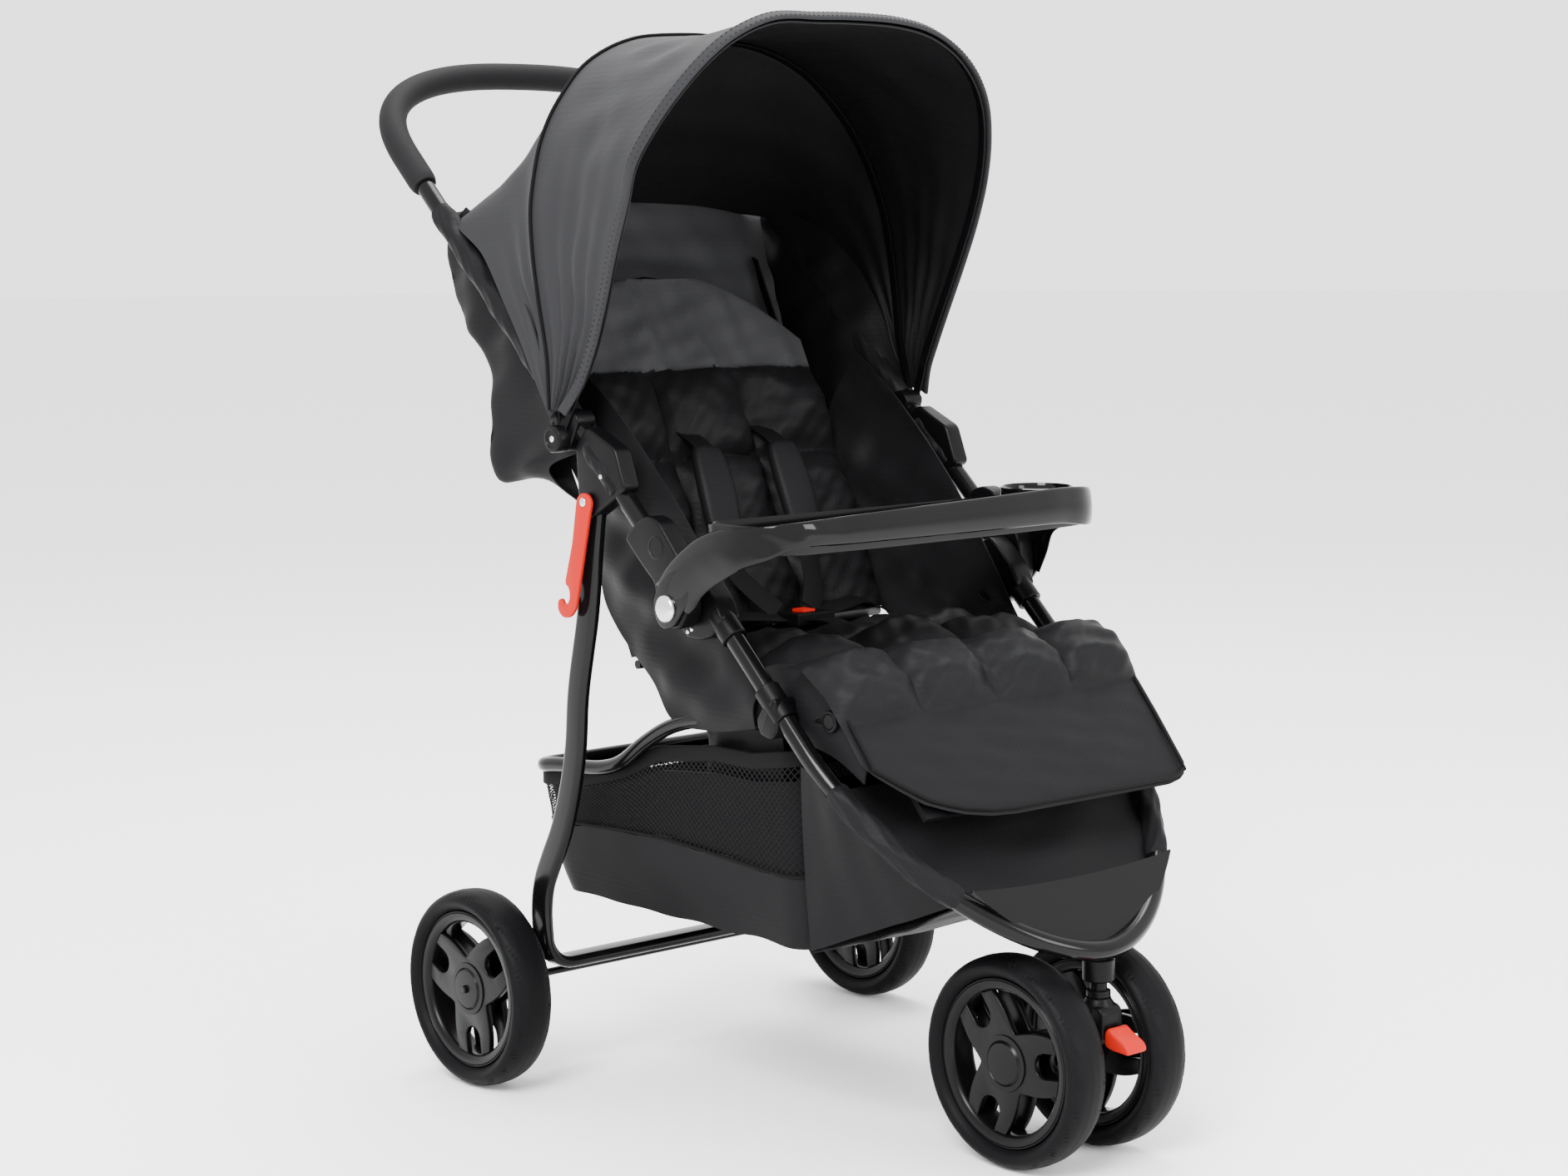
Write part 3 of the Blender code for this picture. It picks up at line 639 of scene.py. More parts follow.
def rear_leg_piece():
    """Rear legs and cross bar: a flat oval swept round one U."""
    side = ((0.0215, 0.613), LEG, (0.040, 0.488), (0.058, 0.4035), (0.063, 0.353), (0.0755, 0.301),
            (0.0888, 0.266), (0.109, 0.2285), (0.118, 0.210), (0.1235, 0.175), (0.1225, 0.160))
    leg = smooth([(LEG_X, y, z) for y, z in side], 60)
    t = np.linspace(0.0, np.pi / 2, 12)[1:]
    corner = np.stack([LEG_X - 0.030 * (1 - np.cos(t)), 0.120 + 0.002 * (1 - t / t[-1]),
                       0.154 - 0.030 * np.sin(t)], axis=1)
    half = np.vstack([leg, corner])
    cross = np.stack([np.linspace(half[-1, 0], -half[-1, 0], 14)[1:-1], np.full(12, 0.120),
                      np.full(12, 0.124)], axis=1)
    path = np.vstack([half, cross, half[::-1] * (-1, 1, 1)])
    rings = sweep(path, oval(sizes().leg_wide, sizes().leg_thin), (0.0, 1.0, 0.0))
    make("rear_leg_finished", skin(rings), paint(), "rear_legs", ["rear_leg_frame"])


def seat_loop_piece():
    """Seat loop: a round tube bent along both sides and across the rear."""
    side = ((-0.263, 0.4163), (-0.190, 0.406), (-0.020, 0.3765), (0.010, 0.3600), (0.045, 0.337),
            (0.165, 0.318))
    line = smooth([(SEAT_X, y, z) for y, z in side], 60)
    t = np.linspace(0.0, np.pi / 2, 12)
    corner = np.stack([SEAT_X - 0.03 * (1 - np.cos(t)), 0.165 + 0.03 * np.sin(t),
                       0.318 - 0.005 * np.sin(t)], axis=1)
    half = np.vstack([line[:-1], corner])
    path = np.vstack([half, half[::-1] * (-1, 1, 1)])
    rings = sweep(path, circle(sizes().seat_tube, 20), (0.0, 0.0, 1.0))
    finished("seat_loop", skin(rings), paint(), "seat_frame")


# Wheels

def tyre(place):
    """Tyre: a round profile with two rows of short slanted cuts on its shoulders. The cut's depth is
    a narrow pulse of the turn, repeated, times a window over the shoulder."""
    half, outer, seat = sizes().tyre_half, sizes().tyre, sizes().rim
    side = smooth([(seat + 0.0003, 0.0150), (0.0842, 0.0206), (0.0898, half), (0.0948, 0.0200),
                   (0.0986, 0.0120), (outer, 0.0)], 20)
    profile = np.vstack([side, (side[:-1] * (1, -1))[::-1]])
    bed = np.linspace(-0.0150, 0.0150, 5)[1:-1]
    profile = np.vstack([profile, [(seat + 0.0003, x) for x in bed]])
    turns = np.linspace(0.0, 2 * np.pi, 400, endpoint=False)[:, None]
    r, x = profile[:, 0][None], profile[:, 1][None]
    slant = turns * 22 / (2 * np.pi) + 9.0 * np.abs(x) / outer
    pair = np.exp(-(((slant % 1.0) - 0.40) / 0.035)**2) + np.exp(-(((slant % 1.0) - 0.58) / 0.035)**2)
    window = np.exp(-((np.abs(x) - 0.0175) / 0.0032)**2) * (r > 0.090)
    r = r - 0.0018 * pair * window
    rings = np.stack([place[0] + x + 0 * turns, place[1] + r * np.cos(turns),
                      place[2] + r * np.sin(turns)], axis=-1)
    return skin(rings, closed=True)


def star(place, phase):
    """Spoke star outline (y, z): three broad spokes. A spoke's side is at radius
    0.032 + 0.036 * ((60 - turn) / 37)^1.6 and each spoke has a U slot open to the rim."""
    out, near, slot, depth = 0.0680, 0.0320, 0.0118, 0.0385
    points = []
    for k in range(3):
        middle = phase + 120 * k
        turn = np.linspace(60, 23, 9)
        side = near + (out - near) * ((60 - turn) / 37)**1.6
        open_at = math.degrees(math.asin(slot / out))
        rim = np.linspace(23, open_at, 4)[1:]
        polar = np.column_stack([np.concatenate([side, np.full(3, out)]),
                                 np.concatenate([turn, rim])])
        a = np.radians(middle - polar[:, 1])
        left = np.stack([polar[:, 0] * np.cos(a), polar[:, 0] * np.sin(a)], axis=1)
        t = np.linspace(-np.pi / 2, np.pi / 2, 9)
        u, v = depth + slot - slot * np.cos(t), slot * np.sin(t)
        m = math.radians(middle)
        cup = np.stack([u * math.cos(m) - v * math.sin(m), u * math.sin(m) + v * math.cos(m)],
                       axis=1)
        a = np.radians(middle + polar[::-1, 1])
        right = np.stack([polar[::-1, 0] * np.cos(a), polar[::-1, 0] * np.sin(a)], axis=1)[:-1]
        points += [left, cup, right]
    return np.vstack(points) + (place[1], place[2])


def rim(place, phase):
    """Rim: a barrel with flanges and a fine groove, a spoke star in each face and a hub."""
    outer = sizes().rim
    side = [(outer, 0.0150), (outer - 0.0012, 0.0163), (0.0778, 0.0165), (0.0774, 0.0158),
            (0.0768, 0.0165), (0.0725, 0.0163), (0.0700, 0.0150), (0.0680, 0.0128),
            (0.0672, 0.0095)]
    profile = side + [(r, -x) for r, x in reversed(side)]
    solids = [ring(profile, place, 96)]
    for way in (-1, 1):
        solids.append(plate(star(place, phase), place[0] + way * 0.0135, place[0] + way * 0.0070,
                            0.0012))
        cap = [(0.0268, 0.0132), (0.0262, 0.0150), (0.0216, 0.0153), (0.0210, 0.0147),
               (0.0204, 0.0153), (0.0190, 0.0168), (0.0120, 0.0174), (0.0015, 0.0175)]
        solids.append(lathe([(0.0268, way * 0.0100)] + [(r, way * x) for r, x in cap], place, 64))
    solids.append(lathe([(0.0130, -0.0100), (0.0130, 0.0100)], place, 32))
    return join(*solids)


def wheel_pieces(end, side, place, phase):
    """One wheel's tyre and rim."""
    body = f"{end}_wheel_{side}"
    finished(f"{end}_tyre_{side}", tyre(place), rubber(), body)
    finished(f"{end}_rim_{side}", rim(place, phase), rim_plastic(), body, 32)


def axle_pieces():
    """Rear and front axles and the rear axle's housings and brake pedals."""
    for name, body, half, radius, place in (("rear_axle", "rear_legs", 0.2855, 0.004, REAR_WHEEL),
                                            ("front_axle", "caster", 0.0700, 0.005, FRONT_WHEEL)):
        centre = (0.0, place[1], place[2])
        rows = [(radius * 0.7, -half), (radius, -half + 0.001), (radius, half - 0.001),
                (radius * 0.7, half)]
        finished(name, lathe(rows, centre, 24), paint() if body == "rear_legs" else steel(), body)
    housing = [(0.1405, 0.0900), (0.1405, 0.1560), (0.1520, 0.1560), (0.1700, 0.1250),
               (0.1860, 0.1080), (0.1880, 0.0950), (0.1800, 0.0830), (0.1600, 0.0820)]
    pedal = [(0.1850, 0.1240), (0.1790, 0.1320), (0.1850, 0.1370), (0.2120, 0.1300),
             (0.2180, 0.1220), (0.2140, 0.1160), (0.1950, 0.1180)]
    for side, s in SIDES:
        body = plate(filleted(housing, 0.007), s * 0.2020, s * 0.2390, 0.003)
        collar = lathe([(0.0085, s * 0.2380), (0.0085, s * 0.2440), (0.0060, s * 0.2455)],
                       (0.0, REAR_WHEEL[1], REAR_WHEEL[2]), 28)
        finished(f"axle_housing_{side}", join(body, collar), plastic(), "rear_legs")
        finished(f"brake_pedal_{side}",
                 plate(filleted(pedal, 0.004), s * 0.2050, s * 0.2350, 0.002), red_plastic(),
                 f"brake_{side}")


def fork_pieces():
    """Caster fork, its stem and collar, the housing under the front tube and the red lock."""
    body = [(-0.4555, 0.1240), (-0.4555, 0.1500), (-0.4500, 0.1560), (-0.4240, 0.1560),
            (-0.4180, 0.1480), (-0.4050, 0.1300), (-0.3800, 0.1150), (-0.3690, 0.1050),
            (-0.3680, 0.0930), (-0.3780, 0.0850), (-0.3930, 0.0860), (-0.4150, 0.1000),
            (-0.4400, 0.1180)]
    rows = [(0.0145, 0.1480), (0.0150, 0.1500), (0.0150, 0.1560), (0.0120, 0.1600),
            (0.0118, 0.1612)]
    rings = upright(rows, 0.0, STEM_Y, 36)
    fork = join(plate(filleted(body, 0.006), -0.0140, 0.0140, 0.003), skin(rings))
    finished("caster_fork", fork, plastic(), "caster")
    rows = [(0.0105, 0.1618), (0.0112, 0.1626), (0.0112, 0.1680), (0.0080, 0.1686),
            (0.0080, 0.1790)]
    rings = upright(rows, 0.0, STEM_Y, 36)
    rows = [(0.0135, 0.1770), (0.0150, 0.1784), (0.0150, 0.1970), (0.0140, 0.1980)]
    cup = upright(rows, 0.0, STEM_Y, 36)
    housing = join(skin(cup), skin(rings))
    finished("swivel_housing", housing, plastic(), "front_frame")
    lever = [(-0.4558, 0.1210), (-0.4558, 0.1340), (-0.4610, 0.1390), (-0.4700, 0.1330),
             (-0.4830, 0.1270), (-0.4870, 0.1215), (-0.4850, 0.1170), (-0.4780, 0.1175),
             (-0.4640, 0.1180)]
    make("swivel_lock_finished", plate(filleted(lever, 0.004), -0.0130, 0.0130, 0.003),
         red_plastic(), "swivel_lock", ["swivel_lock_lever"])


# Fittings

def sheath(point, x, s0, s1, radius, rim_depth=0.001):
    """Round sleeve over a tube from s0 to s1 along its slope, with rounded ends."""
    s = np.array([s0, s0 + rim_depth, s1 - rim_depth, s1])
    share = (1 - rim_depth / radius, 1.0, 1.0, 1 - rim_depth / radius)
    return skin(sweep(point(x, s), circle(radius, 28), (0.0, 0.7, 0.7), share))


def casing_pieces():
    """Fold joint casings, the bracket that joins leg and handle, the seat bracket and the rivets."""
    upper = [(-0.0345, 0.5700), (-0.0480, 0.5830), (-0.0587, 0.5915), (-0.0714, 0.5945),
             (-0.0860, 0.5905), (-0.1000, 0.5760), (-0.1150, 0.5600), (-0.1260, 0.5400),
             (-0.1280, 0.5080), (-0.1170, 0.4910), (-0.0980, 0.4890), (-0.0840, 0.5020),
             (-0.0800, 0.5310), (-0.0600, 0.5470)]
    lower = [(-0.1360, 0.4840), (-0.1514, 0.5010), (-0.1400, 0.5200), (-0.1190, 0.5400),
             (-0.1080, 0.5470), (-0.0900, 0.5370), (-0.0795, 0.5120), (-0.0830, 0.4930),
             (-0.1000, 0.4790), (-0.1200, 0.4785)]
    bracket = [(-0.0340, 0.6160), (-0.0190, 0.6540), (0.0260, 0.6740), (0.0440, 0.6540),
               (0.0400, 0.6020), (0.0350, 0.5880), (0.0230, 0.5840), (0.0110, 0.5900)]
    ears = [(-0.2290, 0.4180), (-0.2250, 0.4370), (-0.2080, 0.4260), (-0.1985, 0.4130),
            (-0.2040, 0.3990), (-0.2200, 0.3960), (-0.2280, 0.4060)]
    for side, s in SIDES:
        cup = lathe([(0.0115, s * 0.2290), (0.0115, s * 0.2316), (0.0100, s * 0.2320),
                     (0.0092, s * 0.2312), (0.0092, s * 0.2285)], (0.0, *BUTTON), 36)
        body = plate(filleted(upper, 0.006, 6), s * 0.2105, s * 0.2315, 0.0035, 6)
        finished(f"upper_casing_{side}", join(body, cup), plastic(), "handle_frame")
        key = lathe([(0.0080, s * 0.2230), (0.0080, s * 0.2300), (0.0070, s * 0.2310),
                     (0.0010, s * 0.2306)], (0.0, *BUTTON), 32)
        make(f"fold_button_{side}_finished", key, plastic(), f"fold_release_{side}",
             [f"fold_release_button_{side}"])
        body = plate(filleted(lower, 0.005, 6), s * 0.1835, s * 0.2083, 0.0030, 6)
        sleeve = sheath(front_point, s * FRONT_X, -0.012, 0.0185, 0.0128)
        studs = [dome((s * 0.2080, y, z), 0.0022, s * 0.0012, 1, 16)
                 for y, z in ((-0.1070, 0.4880), (-0.1010, 0.4850))]
        finished(f"lower_casing_{side}", join(body, sleeve), plastic(), "front_frame")
        make(f"casing_rivets_{side}", join(*studs), steel(), "front_frame")
        body = plate(filleted(bracket, 0.006, 6), s * 0.2090, s * 0.2290, 0.0035, 6)
        sleeve = sheath(handle_point, s * HANDLE_X, 0.0480, 0.1060, 0.0125)
        finished(f"leg_bracket_{side}", join(body, sleeve), plastic(), "handle_frame")
        studs = [dome((s * 0.2308, 0.0010, 0.6266), 0.0024, s * 0.0012, 1, 16)]
        if s > 0:
            studs.append(dome((s * 0.2292, *LEG), 0.0050, s * 0.0020, 1, 20))
        make(f"bracket_rivets_{side}", join(*studs), steel(), "handle_frame")
        body = plate(filleted(ears, 0.005), s * 0.1823, s * 0.2080, 0.003)
        sleeve = sheath(front_point, s * FRONT_X, 0.080, 0.118, 0.0125)
        finished(f"seat_bracket_{side}", join(body, sleeve), plastic(), "front_frame")
        cap = [(0.0130, s * 0.2371), (0.0130, s * 0.2385), (0.0126, s * 0.2398),
               (0.0112, s * 0.2410), (0.0085, s * 0.2420), (0.0040, s * 0.2425)]
        make(f"pivot_dome_{side}", lathe(cap, (0.0, *FOLD), 40), steel(), "handle_frame",
             [f"pivot_rivet_{side}"])
        knob = [(0.0105, s * 0.1700), (0.0105, s * 0.1845), (0.0098, s * 0.1858),
                (0.0074, s * 0.1862), (0.0070, s * 0.1853), (0.0064, s * 0.1862),
                (0.0010, s * 0.1862)]
        finished(f"legrest_knob_{side}", lathe(knob, (0.0, *KNEE), 40), plastic(),
                 f"legrest_release_{side}")


def footrest_piece():
    """Footrest: an upright plate that fills the bottom of the front tube's bend. Each column runs
    from the tube up to a top edge that rises to its ends by 0.006 * (x / 0.13)^2."""
    base, up = np.array((0.0, -0.4370, 0.2160)), np.array((0.0, 0.46, 0.888))
    bend = arch(*FRONT_BEND, 181)
    bend = bend[np.abs(bend[:, 0]) < 0.1330]
    foot = (front_point(*bend.T) - base) @ up
    x, top = bend[:, 0], 0.0600 + 0.006 * (bend[:, 0] / 0.13)**2
    t = np.linspace(0.0, 1.0, 15)[:, None]
    height = foot[None] + 0.001 + t * np.maximum(top - foot - 0.001, 0.002)[None]
    back = np.array((0.0, -0.888, 0.46)) * -0.004
    grid = base + height[..., None] * up + x[None, :, None] * np.array((1.0, 0.0, 0.0))
    make("footrest_finished", layer(grid, 1.0, np.broadcast_to(back, grid.shape)), tray_plastic(),
         "front_frame", ["footrest_plate"], 30)


def hook_piece():
    """Red transport hook with its pivot rivet."""
    outline = [(0.0170, 0.6090), (0.0110, 0.6010), (0.0150, 0.5900), (0.0265, 0.5446),
               (0.0390, 0.4950), (0.0480, 0.4860), (0.0600, 0.4850), (0.0680, 0.4920),
               (0.0675, 0.5020), (0.0610, 0.5045), (0.0580, 0.4990), (0.0520, 0.4990),
               (0.0480, 0.5060), (0.0490, 0.5150), (0.0560, 0.5190), (0.0430, 0.5600),
               (0.0370, 0.5930), (0.0350, 0.6040), (0.0270, 0.6100)]
    finished("transport_hook", plate(filleted(outline, 0.006, 6), -0.2309, -0.2348, 0.0010),
             red_plastic(), "hook")
    make("hook_rivet", dome((-0.2349, *LEG), 0.0045, -0.0022, 1, 20), steel(), "handle_frame")


def clamp_pieces():
    """Canopy hubs: a clamp on the handle tube, a round boss and a rivet."""
    for side, s in SIDES:
        arm = [(HUB[0] - 0.0140, HUB[1] - 0.004), (HUB[0] - 0.004, HUB[1] - 0.014),
               (HUB[0] + 0.012, HUB[1] - 0.010), (HUB[0] + 0.016, HUB[1] + 0.004), (0.0660, 0.6840),
               (0.0480, 0.6900), (0.0360, 0.6800)]
        body = plate(filleted(arm, 0.008), s * 0.2065, s * 0.2303, 0.002)
        boss = lathe([(0.0135, s * 0.2300), (0.0135, s * 0.2420), (0.0125, s * 0.2434),
                      (0.0095, s * 0.2438), (0.0085, s * 0.2428), (0.0010, s * 0.2428)],
                     (0.0, *HUB), 40)
        finished(f"canopy_clamp_{side}", join(body, boss), plastic(), "handle_frame")
        make(f"canopy_rivet_{side}", dome((s * 0.2426, *HUB), 0.0032, s * 0.0016, 1, 18), steel(),
             "handle_frame")


# Tray

def tray_pieces():
    """Tray: a deep glossy band from joint to joint, a pan and a cup ring; and its two mounts.
    The band's top and bottom edges are two curves in space, and its section is skinned between."""
    top = [(-0.2345, -0.0860, 0.5310), (-0.2348, -0.0980, 0.5450), (-0.2350, -0.1269, 0.5680),
           (-0.2350, -0.1514, 0.5815), (-0.2350, -0.1755, 0.5885), (-0.2330, -0.2050, 0.5925),
           (-0.2230, -0.2300, 0.5955), (-0.2000, -0.2470, 0.5985), (-0.1500, -0.2520, 0.6010),
           (0.0, -0.2530, 0.6050), (0.1000, -0.2500, 0.6075), (0.1500, -0.2460, 0.6080)]
    low = [(-0.2345, -0.1330, 0.5075), (-0.2348, -0.1407, 0.5130), (-0.2350, -0.1505, 0.5235),
           (-0.2350, -0.1627, 0.5325), (-0.2350, -0.1868, 0.5450), (-0.2330, -0.2100, 0.5560),
           (-0.2230, -0.2320, 0.5640), (-0.2000, -0.2480, 0.5740), (-0.1500, -0.2530, 0.5745),
           (0.0, -0.2540, 0.5740), (0.1000, -0.2510, 0.5735), (0.1500, -0.2470, 0.5725)]
    far_top = [(0.1900, -0.2380, 0.6060), (0.2150, -0.2200, 0.6020), (0.2300, -0.1950, 0.5950),
               (0.2340, -0.1650, 0.5870), (0.2345, -0.1400, 0.5760), (0.2345, -0.1150, 0.5600),
               (0.2345, -0.0860, 0.5310)]
    far_low = [(0.1900, -0.2400, 0.5680), (0.2150, -0.2220, 0.5660), (0.2300, -0.1980, 0.5630),
               (0.2340, -0.1700, 0.5590), (0.2345, -0.1520, 0.5500), (0.2345, -0.1440, 0.5300),
               (0.2345, -0.1330, 0.5075)]
    count = 160
    a, b = smooth(top + far_top, count), smooth(low + far_low, count)
    along = unit(np.gradient((a + b) / 2, axis=0))
    outward = unit(np.cross((0.0, 0.0, 1.0), along) * (1, 1, 0))
    outward *= np.sign(np.sum(outward * (((a + b) / 2) - (0.0, -0.1, 0.0)), axis=1, keepdims=True))
    w = np.array([0.0, 0.01, 0.05, 0.12, 0.3, 0.5, 0.7, 0.88, 0.95, 0.99, 1.0, 0.97, 0.7, 0.3,
                  0.03])
    d = np.array([-0.0022, -0.0008, 0.0, 0.0008, 0.0018, 0.0022, 0.0018, 0.0008, 0.0, -0.0008,
                  -0.0022, -0.0032, -0.0036, -0.0036, -0.0032])
    rings = a[:, None] + w[None, :, None] * (b - a)[:, None] + d[None, :, None] * outward[:, None]
    inner = (a - 0.0045 * outward) * (1, 1, 0)
    front = inner[np.flatnonzero(inner[:, 1] < -0.158)]
    pan = np.vstack([front, [(0.2200, -0.1530, 0), (0.0, -0.1580, 0), (-0.2200, -0.1530, 0)]])
    outline = even(np.vstack([pan, pan[:1]]), 140)[:-1]
    floor_rings = [np.column_stack([outline[:, 0] * k, -0.195 + (outline[:, 1] + 0.195) * k,
                                    np.full(len(outline), z)])
                   for k, z in ((0.99, 0.5680), (1.0, 0.5700), (1.0, 0.5930), (0.993, 0.5945),
                                (0.985, 0.5935), (0.980, 0.5760), (0.960, 0.5725))]
    rows = [(0.0330, 0.5722), (0.0330, 0.6020), (0.0345, 0.6050), (0.0365, 0.6040),
            (0.0370, 0.5722)]
    cup = upright(rows, 0.170, -0.190, 48)
    tray = join(skin(rings), skin(floor_rings), skin(cup, closed=True))
    finished("tray", tray, tray_plastic(), "tray", 50)
    for side, s in SIDES:
        mount = filleted([(-0.0950, 0.4900), (-0.0850, 0.5050), (-0.0860, 0.5200),
                          (-0.0990, 0.5400), (-0.1180, 0.5500), (-0.1360, 0.5400),
                          (-0.1385, 0.5230), (-0.1250, 0.5050), (-0.1130, 0.4920)], 0.010, 6)
        finished(f"tray_mount_{side}", plate(mount, s * 0.2318, s * 0.2366, 0.0012), tray_plastic(),
                 "handle_frame")


# Hood

def hood_lines():
    """Rear edge, middle bow and front bow of the hood: measured points from the right hub over the
    crown to the left hub. The front one leans to the right, as the hood does."""
    side = [(-0.2405, 0.062, 0.670), (-0.2405, 0.095, 0.721), (-0.2400, 0.121, 0.761),
            (-0.2370, 0.148, 0.793), (-0.2300, 0.190, 0.836), (-0.2150, 0.255, 0.868),
            (-0.1500, 0.285, 0.878), (-0.0750, 0.292, 0.884)]
    rear = np.array(side + [(0.0, 0.294, 0.884)] + [(-x, y, z) for x, y, z in side[::-1]])
    side = [(-0.2405, 0.030), (-0.2360, 0.079), (-0.2380, 0.136), (-0.2380, 0.185),
            (-0.2340, 0.226), (-0.2250, 0.258), (-0.2140, 0.287), (-0.1970, 0.316),
            (-0.1780, 0.339), (-0.1510, 0.365), (-0.1170, 0.384), (-0.0840, 0.395),
            (-0.0290, 0.401)]
    mid = np.array(side + [(-x, s) for x, s in side[::-1]])
    front = np.array([(-0.2400, 0.030), (-0.2310, 0.060), (-0.2290, 0.092), (-0.2330, 0.148),
                      (-0.2400, 0.202), (-0.2450, 0.256), (-0.2500, 0.299), (-0.2410, 0.334),
                      (-0.2260, 0.369), (-0.2080, 0.399), (-0.1850, 0.425), (-0.1480, 0.446),
                      (-0.0810, 0.451), (-0.0300, 0.452), (0.0200, 0.450), (0.0610, 0.443),
                      (0.1060, 0.425), (0.1430, 0.400), (0.1730, 0.368), (0.1940, 0.331),
                      (0.2110, 0.283), (0.2200, 0.234), (0.2240, 0.184), (0.2260, 0.134),
                      (0.2280, 0.094), (0.2310, 0.060), (0.2400, 0.030)])
    mid = on_slope(HUB, MID_BOW, mid[:, 0], mid[:, 1])
    front = on_slope(HUB, FRONT_BOW, front[:, 0], front[:, 1])
    return [even(smooth(line, 500), 161) for line in (rear, mid, front)]


def hood_grid(a, b, rows, sag, fans):
    """Cloth stretched between two lines. It dips towards the middle of the hood by
    sag * sin(pi w) * sin(pi u)^0.7, and folds fan out from the hubs as a sine of w that fades with
    u."""
    u = np.linspace(0.0, 1.0, len(a))[None, :, None]
    w = np.linspace(0.0, 1.0, rows)[:, None, None]
    grid = (1 - w) * a[None] + w * b[None]
    inward = unit(HOOD_MIDDLE - grid)
    edge = np.minimum(u, 1 - u)
    dip = sag * np.sin(np.pi * w) * np.sin(np.pi * u)**0.7
    dip = dip + 0.0042 * np.sin(2 * np.pi * fans * w) * np.exp(-(edge / 0.16)**2) * np.sin(np.pi * w)
    dip = dip + ripple(grid, 0.070, 0.0020, 7)[..., None] * np.sin(np.pi * w)
    return grid + dip * inward, inward


def painted_shade_back(ob, rows, count, mat):
    """Give the back of a sheet made by layer() a second material: on the hood this is the darker seat
    cloth, painted shade on its inside.
    """
    ob.data.materials.append(mat)
    first = (rows - 1) * (count - 1)
    for face in ob.data.polygons[first:2 * first]:
        face.material_index = 1


def hood_pieces():
    """Hood: a rear and a front length of cloth, piping over the middle bow and a stitched hem; its
    inside is drawn in the darker seat cloth as painted shade.
    """
    rear, mid, front = hood_lines()
    thick = sizes().cloth
    parts = (("hood_rear", rear, mid, 25, 0.011, 3, "handle_frame", "canopy_mid"),
             ("hood_front", mid, front, 37, 0.007, 5, "canopy_mid", "canopy_front"))
    for name, a, b, rows, sag, fans, first, second in parts:
        grid, inward = hood_grid(a, b, rows, sag, fans)
        ob = make(name, layer(grid, thick, inward), hood_cloth(), None, ["canopy_hood"], 60)
        # Painted shade: the hood's inside gets the darker seat cloth, so it reads darker than the
        # outside.
        painted_shade_back(ob, rows, len(a), seat_cloth())
        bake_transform(ob)
    outward = unit(mid - HOOD_MIDDLE)
    piping = skin(sweep(mid + 0.0016 * outward, circle(0.0018, 8), (0.0, 1.0, 0.0)))
    make("hood_piping", piping, piping_cloth(), "canopy_mid")
    normal = np.array((0.0, -math.sin(FRONT_BOW), math.cos(FRONT_BOW)))
    outward = unit(front - HOOD_MIDDLE)
    line = front + 0.0008 * outward
    hem = skin(sweep(line, oval(0.0125, 0.0042, 5), normal))
    make("hood_hem", hem, hood_cloth(), "canopy_front")
    seams = [stitches(line[2:-2] + k * normal + 0.0023 * outward[2:-2]) for k in (-0.0042, 0.0036)]
    make("hood_stitches", join(*seams), piping_cloth(), "canopy_front")


def bow_pieces():
    """Middle and front bow: flat strips that follow the hood's lines inside the cloth."""
    _, mid, front = hood_lines()
    for name, line, angle, body in (("canopy_mid_bow", mid, MID_BOW, "canopy_mid"),
                                    ("canopy_front_bow", front, FRONT_BOW, "canopy_front")):
        normal = (0.0, -math.sin(angle), math.cos(angle))
        inner = line + 0.0052 * unit(HOOD_MIDDLE - line)
        hub = on_slope(HUB, angle, np.array((-0.2335, -0.2335)), np.array((-0.008, 0.012)))
        path = np.vstack([hub, inner[3:-3], hub[::-1] * (-1, 1, 1)])
        solid = skin(sweep(even(path, 150), oval(0.0100, 0.0028, 4), normal))
        finished(name, solid, plastic(), body)


# Padded pieces

def pad(name, base, normal, front, rear, mat, body, stands_for, held):
    """Padded form: the base grid raised by front and lowered by rear along its normals, with cloth
    filled between the held seam points. Uneven sines crumple the raised squares."""
    crumple = ripple(base, 0.060, 0.0035, 21) + ripple(base, 0.024, 0.0016, 22)
    front = front + crumple * np.clip(front / sizes().puff, 0.0, 1.0)
    top, low = base + front[..., None] * normal, base - rear[..., None] * normal
    ob = make(name, layer(top, 1.0, low - top), mat, body, stands_for, 60)
    border = np.ones(front.shape, bool)
    border[1:-1, 1:-1] = False
    swell(ob, np.concatenate([(held | border).ravel(), np.ones(front.size, bool)]), sizes().swell)
    return ob


def rounded(a, power=0.35):
    """Rise from 0 at both ends of 0..1 to 1: (4 a (1 - a))^power."""
    return np.clip(4 * a * (1 - a), 0.0, 1.0)**power


def back_line(radius):
    """Middle surface (y, z) of the back cushion at a distance from the hinge."""
    points = np.array([(0.0400, 0.4540), (0.0500, 0.4950), (0.0780, 0.5560), (0.1080, 0.6230),
                       (0.1490, 0.7070), (0.1990, 0.8080)])
    reach = np.linalg.norm(points - (0.030, 0.435), axis=1)
    return np.interp(radius, reach, points[:, 0]), np.interp(radius, reach, points[:, 1])


